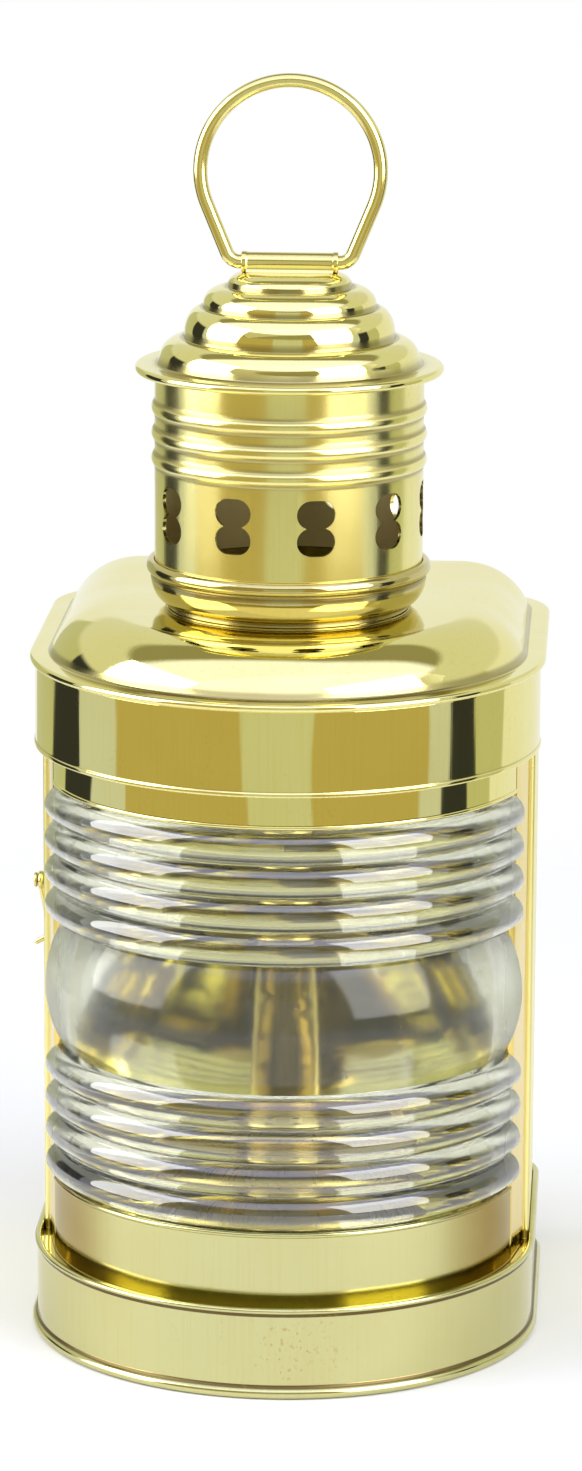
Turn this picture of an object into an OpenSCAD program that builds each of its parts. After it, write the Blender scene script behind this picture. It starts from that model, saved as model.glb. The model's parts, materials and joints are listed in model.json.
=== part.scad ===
// Brass masthead lantern: a round front with a ribbed glass lens, a domed hood, a vented
// chimney with a stepped cap, a wire bail, a rear door and a flat-wick oil burner inside.
// The lamp axis is the Z axis, the lens looks along -Y, and Z = 0 is the underside of the base.

/* [Body] */
// Radius of the round front, and half the width of the body
body_r = 54.4; // [52:0.1:58]
// Distance from the lamp axis to the flat back
body_back = 67.5; // [64:0.5:74]
// Radius of the two rear corners
corner_r = 19; // [18:0.25:22]
// Thickness of the sheet brass
sheet = 0.8; // [0.6:0.05:1]

/* [Base] */
// Height of the base band up to its rolled rim
base_h = 19.9; // [16:0.1:24]
// Depth of the deck below the rim
rim_drop = 2.2; // [1.6:0.1:3]
// Radius of the rolled bead round the foot
foot_bead_r = 1.2; // [0.9:0.1:1.6]
// Radius of the rolled rim
rim_bead_r = 0.6; // [0.45:0.05:0.8]

/* [Lens] */
// Distance of the lens arc's centre behind the lamp axis
lens_axis_y = 2.5; // [1:0.1:4]
// How much smaller than the body's radius the rib crests are
lens_crest_in = 0.9; // [0.4:0.1:1.4]
// How much smaller than the body's radius the grooves between the ribs are
lens_groove_in = 3.6; // [2.9:0.1:3.8]
// How much smaller than the body's radius the plain glass margins are
lens_rim_in = 4; // [3.9:0.1:4.9]
// Thickness of the glass at its plain margins
lens_t = 5.9; // [4.5:0.1:7]
// Angle that the glass spans
lens_angle = 149; // [140:0.5:152]
// Height of the round middle zone
lens_bulge_h = 28.4; // [24:0.1:32]
// Height of one rib
rib_pitch = 7.3; // [6.6:0.05:8]
// Number of ribs above the middle zone, and below it
rib_count = 4; // [3:1:5]
// Plain glass below the ribs
lens_foot_h = 7.7; // [6:0.1:9]
// Plain glass above the ribs
lens_head_h = 5; // [4:0.1:7]
// Height of the ledge that the glass stands on, above the deck
lens_seat_h = 9.8; // [8:0.1:12]
// Width of the ledges that hold the glass
ledge_w = 5; // [4:0.1:6]
// Gap round the glass in its rings
lens_gap = 0.3; // [0.2:0.05:0.5]
// Bare glass between each lens ring and the first rib
ring_reveal = 0.4; // [0.2:0.1:1.5]

/* [Housing] */
// Where the side plates begin behind the lamp axis
plate_front = 4; // [2:0.5:8]
// Radius of the rolled front edges of the side plates
hem_r = 1; // [0.9:0.05:1.3]
// Clearance between the side plates and the base band
plate_gap = 0.1; // [0.05:0.05:0.2]

/* [Door] */
// Where the door's free edge lies on the left side, behind the lamp axis
door_edge_y = 42; // [41:0.5:43]
// Where the hinge axis lies to the right of the lamp axis
hinge_x = 24; // [20:0.5:25]
// Running gap round the door
door_gap = 0.4; // [0.3:0.05:0.6]
// Reach of the stop strip behind the door's free edge
stop_w = 6; // [4:0.5:8]
// Radius of the hinge barrels
barrel_r = 2; // [1.8:0.1:2.4]
// Radius of the hinge pins
hinge_pin_r = 0.9; // [0.8:0.05:1.1]
// Running clearance of pins, shafts and the bail in their bores
pin_clear = 0.06; // [0.04:0.01:0.09]
// Height of each hinge
hinge_h = 24; // [18:0.5:30]
// Width of a hinge leaf
leaf_w = 9; // [7:0.5:10]
// Distance from the door's ends to each hinge
hinge_inset = 12; // [8:0.5:20]
// End play between the hinge knuckles
knuckle_gap = 0.3; // [0.2:0.05:0.4]

/* [Latch] */
// Where the latch pivot lies behind the lamp axis
latch_y = 33; // [32:0.5:34]
// Height of the latch pivot
latch_z = 90; // [70:1:110]
// Distance of the hook's eye from the side plate
latch_standoff = 2.6; // [2:0.1:3]
// Gap between the bend of the hook's tip and the side plate
latch_low = 0.7; // [0.5:0.1:1]
// Length of the hook from its pivot to the bend of its tip
latch_len = 12.5; // [12:0.1:13.5]
// Radius of the latch wire
latch_wire_r = 0.6; // [0.5:0.05:0.7]
// Length of the turned-out tip
latch_tip = 4; // [3:0.1:4.5]
// Radius of the pivot's shank
latch_pin_r = 0.8; // [0.7:0.05:0.9]
// Radius of the pivot's head
latch_head_r = 1.7; // [1.5:0.1:2]
// Clearance on each side of the wire at the pivot and in the keeper
latch_gap = 0.25; // [0.2:0.05:0.3]
// Thickness of the keeper on the door
keeper_t = 1; // [0.8:0.1:1.2]

/* [Hood] */
// Height of the chamber between the glass and the hood plate
hood_gap = 21; // [18:0.5:24]
// Height of the skirt that hangs from the hood
skirt_h = 18.1; // [14:0.1:20]
// Overhang of the hood's flange past the body
flange_out = 1.1; // [0.6:0.1:2]
// Thickness of the rolled flange
flange_h = 1.7; // [1.4:0.1:2.2]
// Distance of the dome's foot inside the body line
dome_foot = 3.3; // [2:0.1:4]
// Rise of the dome above the flange
dome_rise = 10; // [8:0.1:12]
// Radius of the dome's rounded edge
dome_round = 15; // [13:0.25:15.5]
// Radius of the opening in the hood plate
plate_hole_r = 38; // [34:0.5:42]

/* [Chimney] */
// Outer radius of the tube
tube_r = 28.7; // [27:0.1:30]
// How much smaller than the tube the cup's foot on the dome is, as a radius
cup_foot_in = 3.2; // [2.2:0.1:4.7]
// Height of the flared cup below its bead
cup_h = 7.4; // [6:0.1:9]
// Height of the cup's rolled bead
bead_h = 3; // [2.4:0.1:3.6]
// Height of the tube above the cup's flare
tube_h = 44.2; // [42:0.1:48]
// Height of the lowest rolled rib above the tube's foot
rolled_rib_z = 24.7; // [24:0.1:26]
// Spacing of the rolled ribs
rolled_rib_pitch = 5.5; // [4.5:0.1:5.8]
// Number of rolled ribs
rolled_rib_count = 3; // [2:1:3]
// Radius of a rolled rib's section
rolled_rib_r = 1.9; // [1.5:0.1:2.2]
// How far a rolled rib stands out
rolled_rib_out = 0.7; // [0.4:0.1:1]
// Number of vents round the tube
vent_count = 10; // [8:1:12]
// Angle of the first vent to the right of the front
vent_turn = 15; // [0:1:36]
// Width of a vent
vent_w = 8.2; // [7:0.1:9]
// Height of one lobe of a vent
vent_lobe_h = 6.1; // [5:0.1:6.5]
// Distance between the two lobes of a vent
vent_lobe_pitch = 5.8; // [5:0.1:6]
// Height of a vent's middle above the tube's foot
vent_z = 14.4; // [13.5:0.1:15]

/* [Cap] */
// Overhang of the brim past the tube
brim_out = 4.2; // [3.3:0.1:6]
// Radius of the rolled brim's section
brim_roll_r = 0.9; // [0.8:0.05:1.1]
// How much smaller than the tube each of the four tiers is, as a radius, lowest first
tier_in = [0.9, 6.2, 10.2, 15.5]; // [0.5:0.1:17]
// Height of each tier, lowest first
tier_h = [5.6, 6.5, 4.4, 3.0]; // [2.8:0.1:7]
// Rounding of each tier's shoulder, lowest first
tier_round = [4.6, 3.9, 3.6, 2.3]; // [1.8:0.1:4.8]

/* [Bail] */
// Radius of the bail's wire
bail_wire_r = 1.5; // [1.3:0.05:1.7]
// Radius of the bail's round top, at the middle of the wire
bail_top_r = 19.1; // [17:0.1:21]
// Height of the bail's top above its pivot, at the middle of the wire
bail_rise = 38.5; // [36:0.1:42]
// Radius of the bends at the pivot
bail_bend_r = 3; // [2.5:0.1:4]
// Length of the pivot tube
pivot_tube_l = 20.5; // [18:0.1:22]
// Wall of the pivot tube
pivot_tube_wall = 0.5; // [0.4:0.05:0.7]
// End play of the bail in its tube
bail_play = 0.4; // [0.3:0.05:0.6]

/* [Oil font] */
// Radius of the font
font_r = 29.5; // [27:0.1:31]
// Height of the font
font_h = 24; // [20:0.1:26]
// Rounding of the font's shoulder
font_round = 6; // [4:0.1:8]
// Wall of the font
font_wall = 0.7; // [0.6:0.05:0.9]
// Height of the seat ring that locates the font
seat_h = 4; // [3:0.1:6]
// Clearance of the font in its seat
seat_gap = 0.3; // [0.2:0.05:0.4]
// Inner radius of the collar on the font
collar_r = 8.5; // [8:0.1:9.2]
// Wall of the collar
collar_wall = 2; // [1.5:0.1:2.5]
// Height of the collar
collar_h = 5.3; // [4.5:0.1:6]

/* [Burner] */
// Radius of the burner's perforated drum
drum_r = 11; // [10.5:0.1:12]
// Height of the drum
drum_h = 10; // [9.4:0.1:11]
// Radius of the air holes
air_hole_r = 0.9; // [0.7:0.05:1]
// Number of air holes in each row
air_hole_count = 12; // [12:4:16]
// Width of the wick
wick_w = 12.6; // [11:0.1:13]
// Thickness of the wick
wick_t = 2.2; // [1.8:0.1:2.4]
// Clearance round the wick in its tube
wick_gap = 0.2; // [0.15:0.05:0.3]
// Wall of the wick tube
wick_wall = 0.8; // [0.6:0.05:0.9]
// Height of the wick tube above the drum
wick_tube_up = 14; // [13:0.1:16]
// Length of wick that stands out of its tube
wick_out = 1.5; // [1:0.1:2.5]
// Height of the wick's lower end above the font's floor
wick_clear = 3.6; // [3.5:0.1:5]
// Radius of the wick wheels at their tooth tips
wheel_r = 3; // [2.7:0.1:3.2]
// Width of a wick wheel
wheel_w = 2; // [1.5:0.1:2.4]
// Distance between the two wick wheels
wheel_pitch = 6; // [5:0.1:7]
// Gap between the wheels' teeth and the wick
wheel_gap = 0.12; // [0.1:0.01:0.15]
// Radius of the spindle
spindle_r = 1.1; // [1:0.05:1.2]
// Height of the spindle above the drum's floor
spindle_up = 5; // [4.6:0.1:5.4]
// Radius of the knob
knob_r = 6; // [5:0.1:6.5]
// Thickness of the knob
knob_t = 2.2; // [1.8:0.1:3]
// Distance of the knob from the lamp axis
knob_x = 23; // [20:0.1:26]

/* [Hidden] */
$fn = 96;

// Heights, from the base up
deck_z = base_h - rim_drop;
lens_z = deck_z + lens_seat_h;
rib_zone_h = rib_count * rib_pitch;
lens_rib_z = lens_z + lens_foot_h;
bulge_z = lens_rib_z + rib_zone_h;
lens_mid_z = bulge_z + lens_bulge_h / 2;
lens_rib_top = bulge_z + lens_bulge_h + rib_zone_h;
lens_top = lens_rib_top + lens_head_h;
lens_h = lens_top - lens_z;
plate_z = lens_top + hood_gap;
hood_z = plate_z + sheet;
flange_top = hood_z + flange_h;
dome_top = flange_top + dome_rise;
tube_z = dome_top + cup_h;
tube_top = tube_z + tube_h;
brim_top = tube_top + sheet;
tier_top_1 = brim_top + tier_h[0];
tier_top_2 = tier_top_1 + tier_h[1];
tier_top_3 = tier_top_2 + tier_h[2];
cap_top = tier_top_3 + tier_h[3];

// Section of the lens
lens_crest_r = body_r - lens_crest_in;
lens_groove_r = body_r - lens_groove_in;
lens_rim_r = body_r - lens_rim_in;
lens_inner_r = lens_rim_r - lens_t;
ring_outer_r = lens_rim_r + lens_gap + sheet;
rib_out = lens_crest_r - lens_groove_r;
rib_round = (pow(rib_pitch / 2, 2) + pow(rib_out, 2)) / (2 * rib_out);
bulge_round = (pow(lens_bulge_h / 2, 2) + pow(rib_out, 2)) / (2 * rib_out);

// Shell of the housing, as distances inside the body line
shell_in = sheet + plate_gap;
shell_x = body_r - shell_in;
shell_back = body_back - shell_in;
door_z0 = base_h + door_gap;
door_z1 = plate_z - door_gap;
barrel_lift = 0.2;
knuckle_in = 0.6;
hinge_y = shell_back + barrel_r + barrel_lift;
hinge_head_r = (barrel_r + hinge_pin_r) / 2;
hinge_zs = [door_z0 + hinge_inset, door_z1 - hinge_inset - hinge_h];
knuckle_h = (hinge_h - 2 * knuckle_gap) / 3;

// Latch, as distances outside the left side plate: the hook leans in from its eye to its bend
latch_mid = latch_standoff + latch_gap + latch_wire_r;
latch_end = latch_low + latch_wire_r;
latch_head_in = latch_mid + latch_wire_r + latch_gap;
latch_head_t = 0.6;
latch_eye_r = latch_pin_r + pin_clear + latch_wire_r;
latch_lean = atan2(latch_mid - latch_end, latch_len - latch_eye_r);
latch_swell_r = latch_wire_r + pin_clear / 3;
keeper_in = 0.8;
keeper_y = door_edge_y + door_gap + keeper_in;
keeper_mid = latch_end + (latch_y + latch_len - keeper_y - keeper_t / 2) * tan(latch_lean);
keeper_slot = 2 * (latch_wire_r / cos(latch_lean) + latch_gap) + keeper_t * tan(latch_lean);

// Chimney and cap
cup_foot_r = tube_r - cup_foot_in;
brim_r = tube_r + brim_out;
tier_r = [for (step = tier_in) tube_r - step];
tier_top = [tier_top_1, tier_top_2, tier_top_3, cap_top];

// Dome: the edge is part of a circle that meets the flange steeply
dome_w = sqrt(pow(dome_round, 2) - pow(dome_round - dome_rise, 2));
dome_mid = dome_top - dome_round;

// Pivot tube of the bail
bail_bore_r = bail_wire_r + pin_clear;
pivot_tube_r = bail_bore_r + pivot_tube_wall;
bail_z = cap_top + pivot_tube_r;
bail_half = pivot_tube_l / 2 + bail_play;
bail_mid = bail_rise - bail_top_r;
saddle_in = 1;
// Slight swelling of the wire where it was bent, over the ends of the straight stretches
bail_swell_r = bail_wire_r + pin_clear / 3;

// The bail's legs are tangent to the bends below and to the round top
leg_dx = -bail_half;
leg_dz = bail_mid - bail_bend_r;
leg_span = norm([leg_dx, leg_dz]);
leg_turn = atan2(leg_dz, leg_dx) - acos((bail_bend_r - bail_top_r) / leg_span);
leg_len = sqrt(pow(leg_span, 2) - pow(bail_top_r - bail_bend_r, 2));

// Font and burner
font_top = deck_z + font_h;
collar_top = font_top + collar_h;
drum_wall = 0.8;
drum_lip = 1;
neck_gap = 0.5;
air_margin = 0.7;
drum_floor = collar_top + drum_wall;
drum_top = collar_top + drum_h;
wick_tube_w = wick_w + 2 * (wick_gap + wick_wall);
wick_tube_t = wick_t + 2 * (wick_gap + wick_wall);
wick_tube_top = drum_top + wick_tube_up;
wick_z = deck_z + font_wall + wick_clear;
spindle_y = -(wick_t / 2 + wheel_gap + wheel_r);
spindle_z = drum_floor + spindle_up;
spindle_stub = 1.2;
spindle_end = drum_r + spindle_stub;
window_gap = 0.5;
wick_tube_foot = 2;
wheel_teeth = 10;
tooth_h = 0.5;

// How far a cut reaches past the face that it opens
over = 1;

brass = "goldenrod";
dark_brass = "darkgoldenrod";
pale_brass = "khaki";
glass = "lightcyan";
cotton = "ivory";

// Outline of the body, grown outwards by a distance: round front, straight sides, flat back
module plan(grow = 0) {
  r = body_r + grow;
  back = body_back + grow;
  c = corner_r + grow;
  circle(r);
  translate([-r, 0]) square([2 * r, back - c]);
  translate([c - r, 0]) square([2 * (r - c), back]);
  for (side = [-1, 1])
    translate([side * (r - c), back - c]) circle(c);
}

// Sweeps a section round the body's outline: x is the distance outside the body line, y is the height
module sweep_plan() {
  straight = body_back - corner_r;
  half = body_r - corner_r;
  rotate([0, 0, 180]) rotate_extrude(angle = 180) translate([body_r, 0]) children();
  translate([body_r, straight, 0]) rotate([90, 0, 0]) linear_extrude(straight) children();
  translate([-body_r, 0, 0]) rotate([90, 0, 180]) linear_extrude(straight) children();
  translate([half, straight, 0]) rotate_extrude(angle = 90) translate([corner_r, 0]) children();
  translate([-half, straight, 0]) rotate([0, 0, 90])
    rotate_extrude(angle = 90) translate([corner_r, 0]) children();
  translate([-half, body_back, 0]) rotate([90, 0, 90]) linear_extrude(2 * half) children();
}

// Thin shell between two outlines of the body
module shell_2d(depth, wall = sheet) {
  difference() {
    plan(-depth);
    plan(-depth - wall);
  }
}

// Turns a section about the lens axis over the span of the glass
module lens_turn() {
  translate([0, lens_axis_y, 0]) rotate([0, 0, -90 - lens_angle / 2])
    rotate_extrude(angle = lens_angle) children();
}

module base_band() {
  color(brass) sweep_plan() {
    translate([-sheet, 0]) square([sheet, base_h]);
    translate([-foot_bead_r, 0]) square(foot_bead_r);
    translate([0, foot_bead_r]) circle(foot_bead_r, $fn = 48);
    translate([0, base_h - rim_bead_r]) circle(rim_bead_r, $fn = 48);
  }
}

module base_plate() {
  color(dark_brass) linear_extrude(sheet) plan(-foot_bead_r);
}

module base_deck() {
  color(brass) translate([0, 0, deck_z - sheet]) linear_extrude(sheet) plan(-sheet);
}

// Wall of a lens ring between two heights, with a ledge for the glass
module lens_ring(z0, z1, ledge_z) {
  lens_turn() {
    translate([ring_outer_r - sheet, z0]) square([sheet, z1 - z0]);
    translate([ring_outer_r - ledge_w, ledge_z]) square([ledge_w, sheet]);
  }
}

module lower_lens_ring() {
  color(brass) lens_ring(deck_z, lens_rib_z - ring_reveal, lens_z - sheet);
}

module upper_lens_ring() {
  color(brass) lens_ring(lens_rib_top + ring_reveal, plate_z, lens_top);
}

// Section of the glass: plain margins, rounded ribs and a bulging middle zone
module lens_section() {
  translate([lens_inner_r, lens_z]) square([lens_rim_r - lens_inner_r, lens_h]);
  intersection() {
    translate([lens_inner_r, lens_rib_z]) square([lens_crest_r, lens_rib_top - lens_rib_z]);
    union() {
      for (start = [lens_rib_z, bulge_z + lens_bulge_h], i = [0 : rib_count - 1])
        translate([lens_crest_r - rib_round, start + (i + 0.5) * rib_pitch]) circle(rib_round);
      intersection() {
        translate([lens_crest_r - bulge_round, lens_mid_z]) circle(bulge_round);
        translate([lens_inner_r, bulge_z]) square([lens_crest_r, lens_bulge_h]);
      }
    }
  }
}

module lens() {
  color(glass, 0.5) lens_turn() lens_section();
}

// Upright strip that carries one edge of the glass and joins it to a side plate
module jamb() {
  edge_turn = lens_angle / 2 - 90;
  edge_x = ring_outer_r * cos(edge_turn);
  edge_y = lens_axis_y + ring_outer_r * sin(edge_turn);
  foot_x = shell_x - hem_r;
  run_y = plate_front - edge_y;
  lean = atan2(foot_x - edge_x, run_y);
  height = plate_z - deck_z;
  strip_l = norm([run_y, foot_x - edge_x]) - sheet * sin(lean);
  translate([0, 0, deck_z]) linear_extrude(height) {
    translate([0, lens_axis_y]) rotate(edge_turn)
      translate([ring_outer_r - ledge_w - sheet, plate_gap]) square([ledge_w + sheet, sheet]);
    translate([edge_x, edge_y]) rotate(-lean)
      translate([-sheet, plate_gap]) square([sheet, strip_l - 2 * plate_gap]);
  }
}

module right_jamb() {
  color(pale_brass) jamb();
}

module left_jamb() {
  color(pale_brass) mirror([1, 0, 0]) jamb();
}

// Rolled front edge of the right side plate, or of the left one
module hem(side) {
  translate([side * (shell_x - hem_r - plate_gap), plate_front + hem_r]) circle(hem_r, $fn = 48);
}

module right_side_plate() {
  color(brass) translate([0, 0, deck_z]) linear_extrude(plate_z - deck_z) {
    intersection() {
      shell_2d(shell_in);
      translate([hinge_x, plate_front + hem_r]) square([body_r, body_back]);
    }
    hem(1);
  }
}

// The left plate stops at the door, and carries the strip that the door closes against
module left_side_plate() {
  stop_y = door_edge_y - stop_w;
  stop_x = sheet + door_gap;
  color(brass) difference() {
    translate([0, 0, deck_z]) linear_extrude(plate_z - deck_z) {
      intersection() {
        shell_2d(shell_in);
        translate([-body_r, plate_front + hem_r]) square([body_r, door_edge_y - plate_front - hem_r]);
      }
      hem(-1);
      translate([-shell_x + stop_x, stop_y]) square([sheet, 2 * stop_w]);
      translate([-shell_x + sheet / 2, stop_y]) square([door_gap + sheet, stop_w - door_gap]);
    }
    latch_axis() cylinder(r = latch_pin_r, h = 3 * sheet, center = true);
  }
}

module rear_door() {
  color(brass) translate([0, 0, door_z0]) linear_extrude(door_z1 - door_z0) intersection() {
    shell_2d(shell_in);
    translate([-body_r, door_edge_y + door_gap]) square([body_r + hinge_x - door_gap, body_back]);
  }
}

// A leaf of one hinge, reaching right from the hinge axis, with its own knuckles
module hinge_leaf(slots, bore_r) {
  leaf_gap = barrel_r + barrel_lift;
  for (slot = slots) translate([0, 0, slot * (knuckle_h + knuckle_gap)]) difference() {
    union() {
      cylinder(r = barrel_r, h = knuckle_h, $fn = 64);
      translate([0, -leaf_gap, 0]) cube([barrel_r + 2 * knuckle_in, sheet, knuckle_h]);
    }
    translate([0, 0, -over]) cylinder(r = bore_r, h = knuckle_h + 2 * over, $fn = 64);
  }
  translate([barrel_r + knuckle_in, -leaf_gap, 0]) cube([leaf_w - barrel_r, sheet, hinge_h]);
}

module at_hinges() {
  for (z = hinge_zs) translate([hinge_x, hinge_y, z]) children();
}

module frame_hinge_leaves() {
  color(dark_brass) at_hinges() hinge_leaf([0, 2], hinge_pin_r);
}

module door_hinge_leaves() {
  color(dark_brass) at_hinges() mirror([1, 0, 0]) hinge_leaf([1], hinge_pin_r + pin_clear);
}

module hinge_pins() {
  color(pale_brass) at_hinges() {
    cylinder(r = hinge_pin_r, h = hinge_h, $fn = 64);
    for (z = [-sheet, hinge_h]) translate([0, 0, z]) cylinder(r = hinge_head_r, h = sheet, $fn = 64);
  }
}

// Axis of the latch: z runs outwards from the left side plate's outer face
module latch_axis() {
  translate([-shell_x, latch_y, latch_z]) rotate([0, -90, 0]) children();
}

module latch_pivot() {
  color(pale_brass) latch_axis() {
    translate([0, 0, -2 * sheet]) cylinder(r = latch_head_r, h = sheet, $fn = 48);
    translate([0, 0, -sheet]) cylinder(r = latch_pin_r, h = sheet + latch_head_in, $fn = 48);
    cylinder(r = latch_head_r, h = latch_standoff, $fn = 48);
    translate([0, 0, latch_head_in]) cylinder(r = latch_head_r, h = latch_head_t, $fn = 48);
  }
}

// Wire hook hanging from its pivot, with an eye above and a turned-out tip below
module latch_hook() {
  tip_turn = 60;
  color(pale_brass) latch_axis() {
    translate([0, 0, latch_mid]) {
      rotate_extrude() translate([latch_eye_r, 0]) circle(latch_wire_r, $fn = 32);
      translate([-latch_eye_r, 0, 0]) rotate([0, -90 - latch_lean, 0])
        cylinder(r = latch_wire_r, h = (latch_len - latch_eye_r) / cos(latch_lean), $fn = 32);
    }
    translate([-latch_len, 0, latch_end]) {
      sphere(latch_swell_r, $fn = 32);
      rotate([0, tip_turn - 90, 0]) cylinder(r = latch_wire_r, h = latch_tip, $fn = 32);
    }
  }
}

// Slotted tab on the door that the hook drops into
module latch_keeper() {
  below = 3.5;
  above = 1.5;
  reach = keeper_mid + keeper_slot / 2 + keeper_t;
  color(dark_brass) difference() {
    translate([-shell_x - reach, keeper_y, latch_z - below]) cube([reach, keeper_t, below + above]);
    translate([-shell_x - keeper_mid - keeper_slot / 2, keeper_y - over, latch_z - latch_wire_r - latch_gap])
      cube([keeper_slot, keeper_t + 2 * over, above + keeper_slot]);
  }
}

module hood_plate() {
  color(dark_brass) translate([0, 0, plate_z]) linear_extrude(sheet) difference() {
    plan(-sheet);
    circle(plate_hole_r);
  }
}

module hood_skirt() {
  back_turn = asin((plate_front - sheet) / body_r);
  color(brass) translate([0, 0, hood_z - skirt_h]) rotate([0, 0, 180 - back_turn])
    rotate_extrude(angle = 180 + 2 * back_turn)
      translate([body_r - sheet, 0]) square([sheet, skirt_h]);
}

// Half section of the dome's rounded edge, drawn in by a distance
module dome_edge(inset = 0) {
  mid_x = -dome_foot - dome_w;
  intersection() {
    translate([mid_x, dome_mid]) circle(dome_round - inset);
    translate([mid_x, hood_z]) square([dome_w, dome_rise + flange_h]);
  }
}

module hood_dome() {
  top_in = dome_foot + dome_w;
  color(brass) difference() {
    union() {
      sweep_plan() {
        difference() {
          dome_edge();
          dome_edge(sheet);
          translate([-body_r, hood_z - over]) square([body_r, over + flange_h / 2]);
        }
        translate([-dome_foot - sheet, hood_z]) square([dome_foot + sheet, flange_h]);
        translate([-sheet, hood_z]) square([sheet + flange_out - flange_h / 2, flange_h]);
        translate([flange_out - flange_h / 2, hood_z + flange_h / 2]) circle(flange_h / 2, $fn = 48);
      }
      translate([0, 0, dome_top - sheet]) linear_extrude(sheet) plan(-top_in);
    }
    cylinder(r = cup_foot_r - sheet, h = 2 * dome_top);
  }
}

module chimney_cup() {
  collar_in = tube_r + pin_clear;
  color(brass) rotate_extrude() {
    polygon([
      [cup_foot_r - sheet, dome_top],
      [cup_foot_r, dome_top],
      [collar_in + sheet, tube_z],
      [collar_in, tube_z],
      [tube_r - sheet, tube_z],
    ]);
    translate([collar_in, tube_z]) square([sheet, bead_h]);
    intersection() {
      translate([collar_in, tube_z + bead_h / 2]) circle(bead_h / 2, $fn = 48);
      translate([collar_in, tube_z]) square([bead_h, bead_h]);
    }
  }
}

// One vent: two wide lobes, one above the other, cut square to the tube
module vent() {
  lobe_r = vent_lobe_h / 2;
  lobe_dx = vent_w / 2 - lobe_r;
  cut = 4 * sheet;
  translate([0, cut / 2 - tube_r, 0]) rotate([90, 0, 0]) linear_extrude(cut) for (up = [-1, 1])
    translate([0, up * vent_lobe_pitch / 2]) {
      for (side = [-1, 1]) translate([side * lobe_dx, 0]) circle(lobe_r, $fn = 48);
      square([2 * lobe_dx, vent_lobe_h], center = true);
    }
}

module chimney_tube() {
  color(brass) difference() {
    rotate_extrude() {
      translate([tube_r - sheet, tube_z]) square([sheet, tube_h]);
      intersection() {
        translate([tube_r - sheet, tube_z]) square([2 * rolled_rib_r, tube_h]);
        for (i = [0 : rolled_rib_count - 1])
          translate([tube_r + rolled_rib_out - rolled_rib_r, tube_z + rolled_rib_z + i * rolled_rib_pitch])
            circle(rolled_rib_r, $fn = 48);
      }
    }
    for (i = [0 : vent_count - 1])
      rotate([0, 0, vent_turn + i * 360 / vent_count]) translate([0, 0, tube_z + vent_z]) vent();
  }
}

// Half section of the stepped cap above its brim, drawn in by a distance
module cap_tiers(inset = 0) {
  for (i = [0 : 3]) {
    r = tier_r[i] - inset;
    top = tier_top[i] - inset;
    fillet = tier_round[i] - inset;
    translate([0, brim_top - sheet]) square([r, top - fillet - brim_top + sheet]);
    translate([0, brim_top - sheet]) square([r - fillet, top - brim_top + sheet]);
    translate([r - fillet, top - fillet]) circle(fillet, $fn = 64);
  }
}

module chimney_cap() {
  roll_x = brim_r - brim_roll_r;
  color(brass) rotate_extrude() {
    difference() {
      intersection() {
        cap_tiers();
        translate([0, tube_top]) square([brim_r, cap_top]);
      }
      cap_tiers(sheet);
    }
    translate([tier_r[0] - sheet, tube_top]) square([roll_x - tier_r[0] + sheet, sheet]);
    translate([roll_x, brim_top - brim_roll_r]) circle(brim_roll_r, $fn = 48);
  }
}

// Short tube across the cap that the bail turns in, on a narrow saddle
module bail_tube() {
  color(dark_brass) translate([0, 0, bail_z]) difference() {
    union() {
      rotate([0, 90, 0]) cylinder(r = pivot_tube_r, h = pivot_tube_l, center = true);
      translate([saddle_in - pivot_tube_l / 2, -bail_wire_r, -pivot_tube_r])
        cube([pivot_tube_l - 2 * saddle_in, 2 * bail_wire_r, pivot_tube_r]);
    }
    rotate([0, 90, 0]) cylinder(r = bail_bore_r, h = pivot_tube_l + 2 * over, center = true);
  }
}

// Bent stretch of the bail's wire in the upright plane, from one angle to another about its centre
module bail_arc(centre, radius, from, to) {
  translate([centre[0], 0, centre[1]]) rotate([90, 0, 0]) rotate([0, 0, from])
    rotate_extrude(angle = to - from) translate([radius, 0]) circle(bail_wire_r, $fn = 48);
}

module bail() {
  bend = [bail_half, bail_bend_r];
  leg_foot = bend + bail_bend_r * [cos(leg_turn), sin(leg_turn)];
  leg_top = [0, bail_mid] + bail_top_r * [cos(leg_turn), sin(leg_turn)];
  color(brass) translate([0, 0, bail_z]) {
    rotate([0, 90, 0]) cylinder(r = bail_wire_r, h = 2 * bail_half, center = true, $fn = 48);
    for (side = [0, 1]) mirror([side, 0, 0]) {
      bail_arc(bend, bail_bend_r, -90, leg_turn);
      translate([leg_foot[0], 0, leg_foot[1]]) rotate([0, -leg_turn, 0])
        cylinder(r = bail_wire_r, h = leg_len, $fn = 48);
      for (joint = [[bail_half, 0], leg_foot, leg_top])
        translate([joint[0], 0, joint[1]]) sphere(bail_swell_r, $fn = 48);
    }
    bail_arc([0, bail_mid], bail_top_r, leg_turn, 180 - leg_turn);
  }
}

module font_seat() {
  inner = font_r + seat_gap;
  color(dark_brass) translate([0, 0, deck_z]) difference() {
    cylinder(r = inner + sheet, h = seat_h);
    translate([0, 0, -over]) cylinder(r = inner, h = seat_h + 2 * over);
  }
}

// Half section of the font, drawn in by a distance
module font_section(inset = 0) {
  r = font_r - inset;
  top = font_h - inset;
  fillet = font_round - inset;
  translate([0, inset]) square([r, top - fillet - inset]);
  translate([0, inset]) square([r - fillet, top - inset]);
  translate([r - fillet, top - fillet]) circle(fillet, $fn = 64);
}

module font() {
  color(brass) translate([0, 0, deck_z]) rotate_extrude() difference() {
    font_section();
    font_section(font_wall);
    translate([0, font_h / 2]) square([collar_r, font_h]);
  }
}

module font_collar() {
  color(dark_brass) translate([0, 0, font_top]) difference() {
    cylinder(r = collar_r + collar_wall, h = collar_h);
    translate([0, 0, -over]) cylinder(r = collar_r, h = collar_h + 2 * over);
  }
}

// Flat opening that the wick tube fills
module wick_slot(w, t, z, h) {
  translate([-w / 2, -t / 2, z]) cube([w, t, h]);
}

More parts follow.
